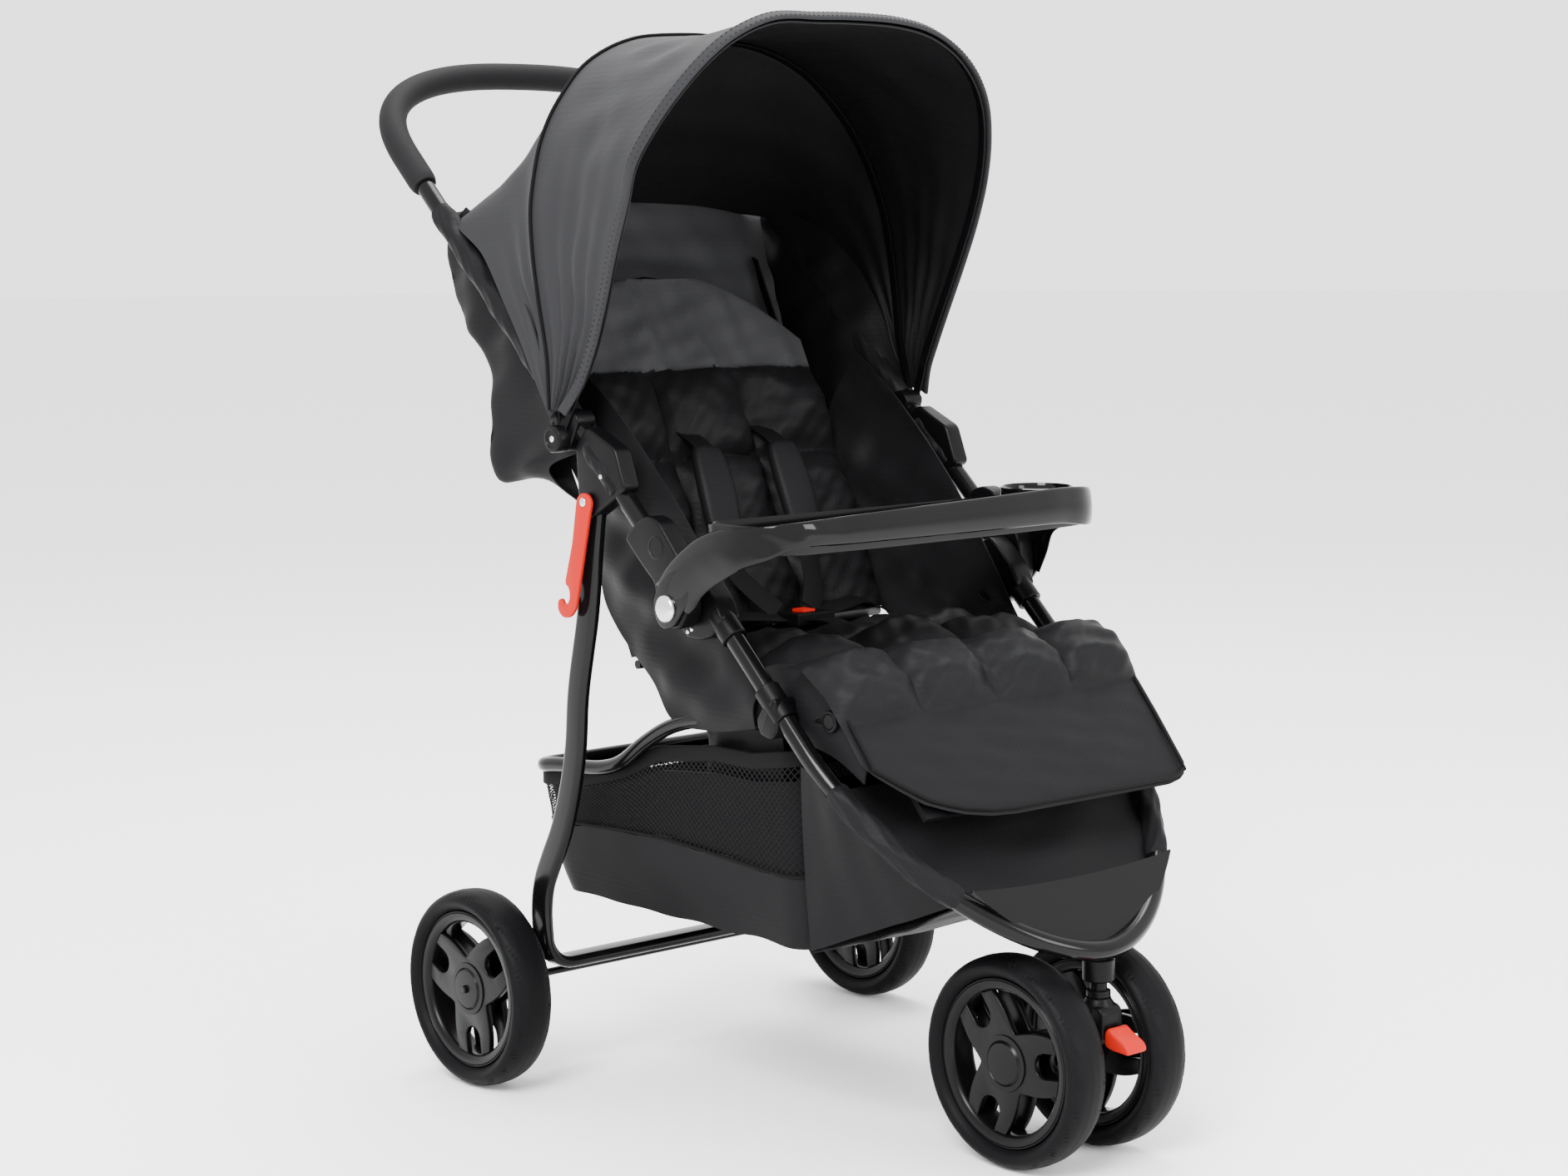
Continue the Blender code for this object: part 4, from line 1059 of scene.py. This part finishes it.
def back_pad():
    """Back cushion: three columns of three puffs under a plain, lighter top with a rounded edge."""
    t = np.linspace(0.0, 1.0, 115)[:, None]
    x = np.linspace(-0.1690, 0.1690, 103)[None]
    radius = 0.010 + t * (0.418 - 0.085 * (x / 0.170)**2 - 0.010)
    y, z = back_line(radius)
    base = np.stack([x + 0 * t, y, z], axis=-1)
    normal = np.broadcast_to(unit(np.array(BACK_FACES)), base.shape)
    seams = (0.005, 0.105, 0.205, 0.305)
    puffs = quilt(radius, x, seams, (-0.1690, -0.0560, 0.0560, 0.1690)) * (radius < seams[-1])
    edge = rounded(t + 0 * x) * rounded((x + 0.1690) / 0.3380 + 0 * t)
    creases = ripple(base, 0.075, 0.0045, 31) + ripple(base, 0.034, 0.0020, 32)
    front = 0.0030 * edge + 1.7 * sizes().puff * puffs + creases * edge * (radius >= 0.305)
    ob = pad("back_cushion_finished", base, normal, front, 0.0150 * edge, seat_cloth(), "backrest",
             ["back_cushion"], puffs < 0.10)
    ob.data.materials.append(lining_cloth())
    plain = (radius[:-1, :-1] > 0.302).ravel()
    for index in np.flatnonzero(plain):
        ob.data.polygons[int(index)].material_index = 1


def seat_pad():
    """Seat cushion: three columns of three puffs, rolled over at its front edge."""
    t = np.linspace(0.0, 1.0, 75)[:, None]
    x = np.linspace(-0.1670, 0.1670, 103)[None]
    y = np.interp(t, (0.0, 0.25, 0.80, 1.0), (0.0240, -0.0400, -0.1700, -0.2150)) + 0 * x
    z = np.interp(t, (0.0, 0.25, 0.80, 1.0), (0.4350, 0.4400, 0.4540, 0.4540)) + 0 * x
    base = np.stack([x + 0 * t, y, z], axis=-1)
    normal = np.broadcast_to(unit(np.array((0.0, 0.08, 1.0))), base.shape)
    puffs = quilt(t, x, (0.0, 0.34, 0.67, 1.0), (-0.1670, -0.0560, 0.0560, 0.1670))
    edge = rounded(t + 0 * x) * rounded((x + 0.1670) / 0.3340 + 0 * t)
    pad("seat_cushion_finished", base, normal, 0.0070 * edge + 1.4 * sizes().puff * puffs,
        0.0120 * edge, seat_cloth(), "seat_frame", ["seat_cushion"], puffs < 0.10)


def leg_pad():
    """Leg-rest pad: four puffs over a plain flap whose right lower corner is cut round, with a
    piped hem."""
    t = np.linspace(0.0, 1.0, 73)[:, None]
    x = np.linspace(-0.1990, 0.1950, 97)[None]
    end = np.interp(x,
                    (-0.199, -0.189, -0.169, -0.149, -0.127, -0.107, -0.077, -0.047, 0.160, 0.178,
                     0.188, 0.195),
                    (0.078, 0.090, 0.108, 0.124, 0.138, 0.148, 0.157, 0.160, 0.160, 0.155, 0.147,
                     0.130))
    s = -0.066 + t * (end + 0.066)
    at = (-0.071, -0.042, 0.0, 0.036, 0.073, 0.123, 0.162)
    y = np.interp(s, at, (-0.2240, -0.2520, -0.2850, -0.3070, -0.3310, -0.3630, -0.3790))
    z = np.interp(s, at, (0.4640, 0.4640, 0.4420, 0.4180, 0.3900, 0.3500, 0.3290))
    base = np.stack([x + 0 * t, y, z], axis=-1)
    normal = np.broadcast_to(unit(np.array(LEGREST_FACES)), base.shape)
    seam = 0.034
    puffs = quilt(s, x, (-0.066, seam), (-0.199, -0.100, 0.0, 0.100, 0.195)) * (s < seam)
    edge = rounded(t + 0 * x) * rounded((x + 0.1990) / 0.3940 + 0 * t)
    plain = np.interp(s, (-0.066, 0.0, seam, 0.16), (0.0070, 0.0065, 0.0045, 0.0030)) * edge
    ob = pad("legrest_pad_finished", base, normal, plain + 1.4 * sizes().puff * puffs,
             np.interp(s, (-0.066, seam, 0.16), (0.0080, 0.0050, 0.0030)) * edge, seat_cloth(),
             "leg_rest", ["legrest_pad"], (puffs < 0.10) | (s >= seam))
    hem = base + 0.0035 * normal
    line = np.vstack([hem[30:, 2], hem[-3, 2:-2], hem[:29:-1, -3]])
    piping = skin(sweep(even(line, 160), circle(0.0017, 8), LEGREST_FACES))
    make("legrest_piping", piping, piping_cloth(), "leg_rest")
    return ob


# Cloth between the frame's tubes

def sheet_between(name, lines, rows, mat, body, sag=0.0, seed=3, crease=0.0016):
    """Cloth through control lines: each line is evened out, and a smooth curve crosses them all.
    Creases are uneven sines; sag moves the middle down."""
    lines = np.stack([even(smooth(np.asarray(line, float), 200), 61) for line in lines])
    t = np.linspace(0.0, 1.0, rows)
    grid = np.stack([smooth(lines[:, k], rows) for k in range(lines.shape[1])], axis=1)
    fade = np.sin(np.pi * t)[:, None] ** 0.5
    inward = unit(np.cross(np.gradient(grid, axis=0), np.gradient(grid, axis=1)))
    grid = grid + (ripple(grid, 0.055, crease, seed) * fade)[..., None] * inward
    grid[..., 2] -= sag * fade**2
    ob = make(name, layer(grid, sizes().cloth), mat, body, (), 60)
    return ob


def upper_back():
    """Plain panel between the hood's rear edge and the back cushion's top."""
    x = np.linspace(-0.2050, 0.2050, 15)
    top = np.column_stack([x, 0.290 - 0.30 * x**2, 0.889 - 0.26 * x**2])
    radius = 0.405 - 0.085 * (x / 0.170)**2
    y, z = back_line(np.maximum(radius, 0.30))
    low = np.column_stack([x * 0.86, y + 0.014, z - 0.012])
    middle = 0.5 * (top + low) + (0.0, 0.012, -0.006)
    sheet_between("upper_back_panel", (top, middle, low), 33, lining_cloth(), "handle_frame",
                  crease=0.0030, seed=11)


def side_panels():
    """On each side a wing that hangs from the handle tube behind the back, and a panel from there
    down to the seat loop."""
    for side, s in SIDES:
        hood = [(0.2350, 0.070, 0.694), (0.2350, 0.087, 0.737), (0.2340, 0.108, 0.778),
                (0.2310, 0.136, 0.812), (0.2230, 0.180, 0.853), (0.2060, 0.252, 0.884)]
        tube_line = handle_point(0.0, np.linspace(0.125, 0.435, 12)) + (s * 0.2060, 0.0, 0.0)
        flap = [(0.129, 0.618), (0.167, 0.615), (0.207, 0.608), (0.217, 0.613), (0.224, 0.630),
                (0.219, 0.672), (0.217, 0.702), (0.225, 0.723), (0.249, 0.748), (0.278, 0.781),
                (0.293, 0.815), (0.295, 0.841)]
        back = [(0.108, 0.585), (0.122, 0.610), (0.150, 0.660), (0.178, 0.712), (0.205, 0.765),
                (0.235, 0.825)]
        lines = ([(s * x, y, z) for x, y, z in hood], tube_line,
                 [(s * 0.1980, y, z) for y, z in flap], [(s * 0.1690, y, z) for y, z in back])
        sheet_between(f"wing_{side}", lines, 29, seat_cloth(), "handle_frame",
                      seed=5, crease=0.0028)
        low = [(0.145, 0.640), (0.120, 0.612), (0.098, 0.590), (0.085, 0.545), (0.0724, 0.4931),
               (0.0527, 0.4701), (0.0199, 0.4445), (-0.0098, 0.4232), (-0.0378, 0.3921),
               (-0.1000, 0.3870), (-0.1708, 0.3980)]
        high = [(0.098, 0.730), (0.070, 0.712), (0.040, 0.690), (0.010, 0.664), (-0.020, 0.636),
                (-0.050, 0.606), (-0.078, 0.574), (-0.104, 0.540), (-0.130, 0.505), (-0.153, 0.470),
                (-0.175, 0.440)]
        middle = [((a[0] + b[0]) / 2, (a[1] + b[1]) / 2) for a, b in zip(low, high)]
        lines = [[(s * x, y, z) for y, z in line]
                 for x, line in ((0.1810, low), (0.1850, middle), (0.1800, high))]
        lines[0] = [(s * x, y, z) for x, (y, z) in zip(np.interp(np.linspace(0, 1, 11), (0, 0.5, 1),
                                                                 (0.168, 0.173, 0.1845)), low)]
        across = np.interp(np.linspace(0, 1, len(high)), (0, 0.4, 0.7, 1),
                           (0.186, 0.184, 0.180, 0.178))
        lines[2] = [(s * x, y, z) for x, (y, z) in zip(across, high)]
        sheet_between(f"side_panel_{side}", lines, 29, seat_cloth(), "seat_frame",
                      seed=9, crease=0.0040)


def seat_skirt():
    """Cloth that hangs from the seat's underside into the basket, on three sides."""
    half = [(0.152, -0.170), (0.152, -0.135), (0.152, -0.100), (0.151, -0.068), (0.143, -0.044),
            (0.120, -0.034), (0.085, -0.032), (0.042, -0.032)]
    path = [(-x, y) for x, y in half] + [(0.0, -0.032)] + half[::-1]
    lines = [[(x * wide, y, z) for x, y in path]
             for z, wide in ((0.396, 1.0), (0.375, 0.99), (0.352, 0.98), (0.332, 0.97))]
    sheet_between("seat_skirt", lines, 21, seat_cloth(), "seat_frame", seed=17,
                  crease=0.0024)


def knee_covers():
    """Cloth beside the seat's front edge, which the leg-rest knobs pass through."""
    for side, s in SIDES:
        high = [(-0.145, 0.446), (-0.200, 0.462), (-0.240, 0.462), (-0.285, 0.436), (-0.322, 0.394)]
        low = [(-0.145, 0.400), (-0.200, 0.397), (-0.245, 0.392), (-0.285, 0.382), (-0.318, 0.366)]
        lines = [[(s * x, y, z) for y, z in line] for x, line in ((0.1740, high), (0.1800, low))]
        lines.insert(1, 0.5 * (np.array(lines[0]) + np.array(lines[1])) + (s * 0.002, 0.0, 0.0))
        sheet_between(f"knee_cover_{side}", lines, 17, seat_cloth(), "seat_frame",
                      seed=13)


def sleeve(name, path, radius, body, seed, twist):
    """Cloth sleeve round a tube: its radius wavers, and twisted folds run round it."""
    path = even(path, 90)
    t = np.linspace(0.0, 2 * np.pi, 28, endpoint=False)[None]
    u = np.linspace(0.0, 1.0, 90)[:, None]
    r = radius + 0.0009 * np.sin(3 * t + twist * u) + 0.0005 * np.sin(7 * t - 2 * twist * u + seed)
    r = r - 0.0016 * (np.exp(-(u / 0.02)**2) + np.exp(-((1 - u) / 0.02)**2))
    across = np.broadcast_to((1.0, 0.0, 0.0), path.shape)
    rings = sweep(path, circle(1.0, 28), across)
    rings = path[:, None] + (rings - path[:, None]) * r[..., None]
    make(name, skin(rings), seat_cloth(), body, (), 60)


def sleeve_pieces():
    """Sleeves that carry the back on the handle tube and the footwell on the front tube."""
    bend = arch(*FRONT_BEND, 181)
    for side, s in SIDES:
        sleeve(f"handle_sleeve_{side}", handle_point(s * HANDLE_X, np.linspace(0.150, 0.446, 30)),
               0.0125, "handle_frame", 1, 26.0)
        sleeve(f"lower_sleeve_{side}", handle_point(s * HANDLE_X, np.linspace(0.052, 0.112, 12)),
               0.0128, "handle_frame", 2, 9.0)
        half = bend[(bend[:, 0] > 0) & (bend[:, 1] > 0.199) & (bend[:, 1] < 0.341)]
        sleeve(f"front_sleeve_{side}", front_point(s * half[:, 0], half[:, 1]),
               0.0114, "front_frame", 3, 12.0)


def footwell():
    """Cloth in front of the basket: a sheet between the front tube's sleeves, a lower sheet back to
    the basket's bottom edge and a gusset on each side."""
    bend = arch(*FRONT_BEND, 181)
    half = bend[bend[:, 0] > 0][::-1]
    reach = lambda s: np.interp(s, half[::-1, 1], half[::-1, 0]) - 0.010
    rows = []
    for s in (0.200, 0.235, 0.270, 0.305, 0.340):
        rows.append(front_point(np.linspace(-reach(s), reach(s), 9), s, -0.004))
    sheet_between("footwell_sheet", rows, 25, seat_cloth(), "front_frame", 0.004)
    x = np.linspace(-1.0, 1.0, 9)
    top = front_point(x * reach(0.340), 0.340, -0.006)
    low = np.column_stack([0.1560 * x, np.full(9, -0.2180), np.full(9, 0.1890)])
    middle = 0.5 * (top + low) + (0.0, 0.0, -0.006)
    ob = sheet_between("footwell_floor", (top, middle, low), 25, seat_cloth(), None)
    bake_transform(ob)
    for side, s in SIDES:
        tube_line = np.vstack([front_point(s * reach(k), k, -0.005)
                               for k in (0.205, 0.25, 0.295, 0.338)])
        edge = np.array([(s * 0.1640, -0.2130, 0.3660), (s * 0.1640, -0.2150, 0.3100),
                         (s * 0.1620, -0.2170, 0.2500), (s * 0.1570, -0.2180, 0.1900)])
        lines = (tube_line, 0.5 * (tube_line + edge), edge)
        ob = sheet_between(f"footwell_gusset_{side}", lines, 21, seat_cloth(), None)
        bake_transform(ob)


# Basket

def loop(half, front, rear, radius, count=200):
    """Plan outline (x, y) of a rectangle with round corners."""
    corners = []
    for cx, cy, start in ((half - radius, rear - radius, 0.0), (-half + radius, rear - radius, 0.5),
                          (-half + radius, front + radius, 1.0),
                          (half - radius, front + radius, 1.5)):
        t = np.pi * (start + np.linspace(0.0, 0.5, 9))
        corners.append(np.stack([cx + radius * np.cos(t), cy + radius * np.sin(t)], axis=1))
    outline = np.vstack(corners)
    return even(np.vstack([outline, outline[:1]]), count + 1)[:-1]


def rim_height(y):
    """Height of the basket's rim along its side."""
    return np.interp(y, (-0.208, -0.146, -0.090, -0.001, 0.053, 0.122, 0.200),
                     (0.3725, 0.3620, 0.3620, 0.3500, 0.3260, 0.3080, 0.3000))


def basket_wall(level, shrink=0.0):
    """Closed line round the basket: level 0 is the bottom edge, 1 the seam and 2 the rim."""
    low = loop(0.1600 - shrink, -0.2150 + shrink, 0.1700 - shrink, 0.030)
    seam = loop(0.1660 - shrink, -0.2130 + shrink, 0.1900 - shrink, 0.024)
    rim = loop(0.1665 - shrink, -0.2120 + shrink, 0.2000 - shrink, 0.020)
    rows = np.stack([np.column_stack([low, np.full(len(low), 0.1880)]),
                     np.column_stack([seam, 0.2620 + 0.004 * np.cos(seam[:, 1] * 15)]),
                     np.column_stack([rim, rim_height(rim[:, 1])])])
    level = np.asarray(level, float)
    i = np.clip(level.astype(int), 0, 1)
    return rows[i] * (1 - (level - i))[..., None, None] + rows[i + 1] * (level - i)[..., None, None]


def basket_pieces():
    """Basket: a cloth tub up to a seam, net above it with a dark wall just inside it as painted
    shade, and an elastic rim tape.
    """
    def shell(shrink):
        wall = basket_wall(np.linspace(0.0, 1.0, 15), shrink)
        bulge = np.sin(np.pi * np.linspace(0.0, 1.0, 15))[:, None, None] * 0.004
        centre = np.array((0.0, -0.015, 0.0))
        wall = wall + bulge * unit((wall - centre) * (1, 1, 0))
        floor = []
        for k in (0.04, 0.3, 0.6, 0.85, 0.97):
            row = wall[0] * 1.0
            row[:, :2] = centre[:2] + (row[:, :2] - centre[:2]) * k
            row[:, 2] -= 0.0050 * (1 - k**2)
            floor.append(row)
        rows = np.concatenate([floor, wall])
        return rows + (ripple(rows, 0.07, 0.0022, 4)[..., None] * (0, 0, 1))
    outer, inner = shell(0.0), shell(sizes().cloth)
    inner[:5, :, 2] += sizes().cloth
    ob = make("basket_tub", skin(np.concatenate([outer, inner[::-1]])), seat_cloth(), "seat_frame",
              ["basket"], 60)
    # Painted shade: a dark cloth wall just inside the net, from just above the seam to below the
    # net's top, makes the net read dark as if the basket's inside were in shadow.
    levels = np.linspace(1.02, 1.80, 9)
    rows = np.concatenate([basket_wall(levels, 0.0045), basket_wall(levels[::-1], 0.0060)])
    lining = make("basket_shade_wall", skin(rows, closed=True), seat_cloth(), "seat_frame", ["basket"],
                  60)
    levels = np.linspace(1.0, 1.96, 25)
    wall = basket_wall(levels)
    count = wall.shape[1]
    strands = []
    for way in (-1, 1):
        for start in range(count):
            turn = start + way * np.linspace(0.0, 14.0, 25)
            low = np.floor(turn).astype(int)
            part = (turn - low)[:, None]
            rows = np.arange(25)
            line = wall[rows, low % count] * (1 - part) + wall[rows, (low + 1) % count] * part
            strands.append(skin(sweep(line[::2], circle(0.0006, 4), (0.3, 0.2, 0.9))))
    net = make("basket_net", join(*strands), seat_cloth(), "seat_frame", ["basket"], 60)
    net.data.shade_smooth()
    tape = basket_wall(2.0)
    rings = sweep(np.vstack([tape, tape[:1]]), oval(0.0160, 0.0030, 4), (0.0, 0.0, 1.0))[:-1]
    make("basket_rim", skin(rings, closed=True), piping_cloth(), "seat_frame", ["basket"], 60)
    seam = basket_wall(1.0)
    make("basket_seam",
         skin(sweep(np.vstack([seam, seam[:1]]), circle(0.0018, 8), (0.0, 0.0, 1.0))[:-1],
              closed=True), piping_cloth(), "seat_frame", ["basket"], 60)


# Harness

def webbing(points, width, facing):
    """Flat strap along a smooth curve."""
    path = smooth(points, 50)
    normal = unit(np.asarray(facing, float))
    along = unit(np.gradient(path, axis=0))
    return skin(sweep(path, oval(width, WEBBING, 3), np.cross(along, normal)))


def harness_pieces():
    """Harness: shoulder, waist and crotch straps with two shoulder pads."""
    for side, s in SIDES:
        line = [(s * 0.050 + 0.012, 0.112, 0.655), (s * 0.050 + 0.012, 0.080, 0.640),
                (s * 0.052 + 0.008, 0.052, 0.588), (s * 0.054 + 0.004, 0.032, 0.543),
                (s * 0.050, 0.016, 0.518), (s * 0.040, 0.000, 0.500), (s * 0.022, -0.016, 0.4795)]
        make(f"shoulder_strap_{side}", webbing(line, 0.024, BACK_FACES), piping_cloth(), "backrest")
        path = smooth([(x, y - 0.003, z + 0.001) for x, y, z in line[1:4]], 41)
        u = np.linspace(0.0, 1.0, 41)
        section = oval(0.044, 0.0170, 6)
        rings = sweep(path, section, (1.0, 0.0, 0.0), 0.25 + 0.75 * rounded(u, 0.22))
        ob = make(f"shoulder_pad_{side}", skin(rings), seat_cloth(), "backrest", (), 60)
        line = [(s * 0.158, 0.020, 0.462), (s * 0.120, 0.012, 0.476), (s * 0.070, -0.010, 0.478),
                (s * 0.020, -0.026, 0.4740)]
        make(f"waist_strap_{side}", webbing(line, 0.022, (0.0, -0.3, 1.0)), piping_cloth(),
             "seat_frame")
    line = [(0.0, -0.046, 0.4720), (0.0, -0.070, 0.4740), (0.0, -0.090, 0.4700),
            (0.0, -0.102, 0.4600)]
    make("crotch_strap", webbing(line, 0.024, (0.0, -0.2, 1.0)), piping_cloth(), "seat_frame")


def dressed_pieces():
    """Boards, hinge rod and buckle keep their frame shape and get a finish."""
    for node in ("back_board", "legrest_board", "harness_buckle"):
        dress(node, plastic())
    board = filleted([(-0.2000, 0.4230), (-0.0350, 0.4070), (-0.0350, 0.4140), (-0.2000, 0.4300)],
                     0.003)
    finished("seat_board", plate(board, -0.1650, 0.1650), plastic(), "seat_frame")
    dress("back_hinge_rod", paint())
    dress("buckle_button", red_plastic(), 0.0004)


# Stage

def light(name, place, aim, size, power):
    """Square soft light turned towards a point."""
    data = bpy.data.lights.new(name, "AREA")
    data.size = size
    data.energy = power
    ob = bpy.data.objects.new(name, data)
    bpy.context.scene.collection.objects.link(ob)
    ob.location = place
    way = Vector(aim) - Vector(place)
    ob.rotation_euler = way.to_track_quat("-Z", "Y").to_euler()
    return ob


def stage_pieces():
    """Pale floor, white surroundings, three soft lights and the photograph's viewpoint."""
    scene = bpy.context.scene
    t = np.linspace(0.0, 2 * np.pi, 64, endpoint=False)
    disc = [(30.0 * math.cos(a), 30.0 * math.sin(a), 0.0) for a in t]
    mesh = bpy.data.meshes.new("floor")
    mesh.from_pydata(disc, [], [list(range(64))])
    mesh.materials.append(finish("floor", colours().floor, 0.85))
    floor = bpy.data.objects.new("floor", mesh)
    scene.collection.objects.link(floor)
    lights = [light("key_light", (-2.6, -1.6, 3.0), (0.0, 0.0, 0.5), 1.6, 330.0),
              light("top_light", (0.8, 0.6, 3.6), (0.0, 0.0, 0.5), 2.0, 190.0),
              light("front_light", (0.9, -3.6, 1.4), (0.0, 0.0, 0.5), 1.2, 90.0)]
    world = bpy.data.worlds.new("white")
    world.use_nodes = True
    background = world.node_tree.nodes["Background"]
    background.inputs["Color"].default_value = (1.0, 1.0, 1.0, 1.0)
    background.inputs["Strength"].default_value = 2.5
    scene.world = world
    data = bpy.data.cameras.new("camera")
    data.lens = 69.288
    data.sensor_width = 36.0
    data.clip_end = 200.0
    camera = bpy.data.objects.new("camera", data)
    scene.collection.objects.link(camera)
    camera.matrix_world = Matrix(((0.7550, 0.0858, -0.6501, -1.9860),
                                  (-0.6557, 0.0900, -0.7496, -2.2727),
                                  (-0.0058, 0.9922, 0.1242, 0.8790), (0.0, 0.0, 0.0, 1.0)))
    scene.camera = camera


# Operators

class StrollerPiece:
    """Shared part of the operators that build pieces."""
    bl_options = {"REGISTER", "UNDO"}

    def execute(self, context):
        self.build()
        return {"FINISHED"}


class STROLLER_OT_front_tube(StrollerPiece, bpy.types.Operator):
    """Build the front tube"""
    bl_idname = "stroller.front_tube"
    bl_label = "Front tube"

    def build(self):
        front_tube_piece()


class STROLLER_OT_handle(StrollerPiece, bpy.types.Operator):
    """Build the handle tube and its grip"""
    bl_idname = "stroller.handle"
    bl_label = "Handle"

    def build(self):
        handle_pieces()


class STROLLER_OT_rear_legs(StrollerPiece, bpy.types.Operator):
    """Build the rear legs"""
    bl_idname = "stroller.rear_legs"
    bl_label = "Rear legs"

    def build(self):
        rear_leg_piece()


class STROLLER_OT_seat_loop(StrollerPiece, bpy.types.Operator):
    """Build the seat loop"""
    bl_idname = "stroller.seat_loop"
    bl_label = "Seat loop"

    def build(self):
        seat_loop_piece()


class STROLLER_OT_wheels(StrollerPiece, bpy.types.Operator):
    """Build the four wheels"""
    bl_idname = "stroller.wheels"
    bl_label = "Wheels"

    def build(self):
        for side, s in SIDES:
            wheel_pieces("rear", side, (s * REAR_WHEEL[0], *REAR_WHEEL[1:]), REAR_SPOKE)
            wheel_pieces("front", side, (s * FRONT_WHEEL[0], *FRONT_WHEEL[1:]), FRONT_SPOKE)


class STROLLER_OT_axles(StrollerPiece, bpy.types.Operator):
    """Build the axles, housings and brakes"""
    bl_idname = "stroller.axles"
    bl_label = "Axles and brakes"

    def build(self):
        axle_pieces()


class STROLLER_OT_fork(StrollerPiece, bpy.types.Operator):
    """Build the front fork, its housing and lock"""
    bl_idname = "stroller.fork"
    bl_label = "Front fork"

    def build(self):
        fork_pieces()


class STROLLER_OT_casings(StrollerPiece, bpy.types.Operator):
    """Build the fold casings"""
    bl_idname = "stroller.casings"
    bl_label = "Fold casings"

    def build(self):
        casing_pieces()
        footrest_piece()


class STROLLER_OT_hook(StrollerPiece, bpy.types.Operator):
    """Build the transport hook"""
    bl_idname = "stroller.hook"
    bl_label = "Transport hook"

    def build(self):
        hook_piece()


class STROLLER_OT_clamps(StrollerPiece, bpy.types.Operator):
    """Build the canopy clamps"""
    bl_idname = "stroller.clamps"
    bl_label = "Canopy clamps"

    def build(self):
        clamp_pieces()


class STROLLER_OT_tray(StrollerPiece, bpy.types.Operator):
    """Build the tray and its mounts"""
    bl_idname = "stroller.tray"
    bl_label = "Tray"

    def build(self):
        tray_pieces()


class STROLLER_OT_bows(StrollerPiece, bpy.types.Operator):
    """Build the hood's bows"""
    bl_idname = "stroller.bows"
    bl_label = "Bows"

    def build(self):
        bow_pieces()


class STROLLER_OT_hood(StrollerPiece, bpy.types.Operator):
    """Build the hood"""
    bl_idname = "stroller.hood"
    bl_label = "Hood"

    def build(self):
        hood_pieces()


class STROLLER_OT_pads(StrollerPiece, bpy.types.Operator):
    """Build the back, seat and leg-rest pads"""
    bl_idname = "stroller.pads"
    bl_label = "Pads"

    def build(self):
        back_pad()
        seat_pad()
        leg_pad()


class STROLLER_OT_cloth(StrollerPiece, bpy.types.Operator):
    """Build the panels, sleeves and footwell"""
    bl_idname = "stroller.cloth"
    bl_label = "Panels and sleeves"

    def build(self):
        upper_back()
        side_panels()
        knee_covers()
        seat_skirt()
        sleeve_pieces()
        footwell()


class STROLLER_OT_basket(StrollerPiece, bpy.types.Operator):
    """Build the basket"""
    bl_idname = "stroller.basket"
    bl_label = "Basket"

    def build(self):
        basket_pieces()


class STROLLER_OT_harness(StrollerPiece, bpy.types.Operator):
    """Build the harness"""
    bl_idname = "stroller.harness"
    bl_label = "Harness"

    def build(self):
        harness_pieces()


class STROLLER_OT_boards(StrollerPiece, bpy.types.Operator):
    """Finish the boards, hinge rod and buckle"""
    bl_idname = "stroller.boards"
    bl_label = "Boards and buckle"

    def build(self):
        dressed_pieces()


class STROLLER_OT_stage(StrollerPiece, bpy.types.Operator):
    """Set up the floor, lights and camera"""
    bl_idname = "stroller.stage"
    bl_label = "Stage"

    def build(self):
        stage_pieces()


OPERATORS = (STROLLER_OT_front_tube, STROLLER_OT_handle, STROLLER_OT_rear_legs,
             STROLLER_OT_seat_loop, STROLLER_OT_wheels, STROLLER_OT_axles, STROLLER_OT_fork,
             STROLLER_OT_casings, STROLLER_OT_hook, STROLLER_OT_clamps, STROLLER_OT_tray,
             STROLLER_OT_bows, STROLLER_OT_hood, STROLLER_OT_pads, STROLLER_OT_cloth,
             STROLLER_OT_basket, STROLLER_OT_harness, STROLLER_OT_boards, STROLLER_OT_stage)


class STROLLER_PT_pieces(bpy.types.Panel):
    """Sizes, colours and pieces of the stroller"""
    bl_idname = "STROLLER_PT_pieces"
    bl_label = "Stroller"
    bl_space_type = "VIEW_3D"
    bl_region_type = "UI"
    bl_category = "Stroller"

    def draw(self, context):
        for group in (context.scene.stroller_sizes, context.scene.stroller_colours):
            column = self.layout.column(align=True)
            for name in group.__annotations__:
                column.prop(group, name)
        for operator in OPERATORS:
            self.layout.operator(operator.bl_idname)


CLASSES = (StrollerSizes, StrollerColours, *OPERATORS, STROLLER_PT_pieces)


def register():
    """Register the classes and the scene's settings."""
    for item in CLASSES:
        bpy.utils.register_class(item)
    bpy.types.Scene.stroller_sizes = PointerProperty(type=StrollerSizes)
    bpy.types.Scene.stroller_colours = PointerProperty(type=StrollerColours)


def unregister():
    """Take the settings and the classes away."""
    del bpy.types.Scene.stroller_colours
    del bpy.types.Scene.stroller_sizes
    for item in reversed(CLASSES):
        bpy.utils.unregister_class(item)


def main():
    """Build every piece on the frame."""
    register()
    for operator in OPERATORS:
        getattr(bpy.ops.stroller, operator.bl_idname.split(".")[1])()


if __name__ == "__main__":
    main()
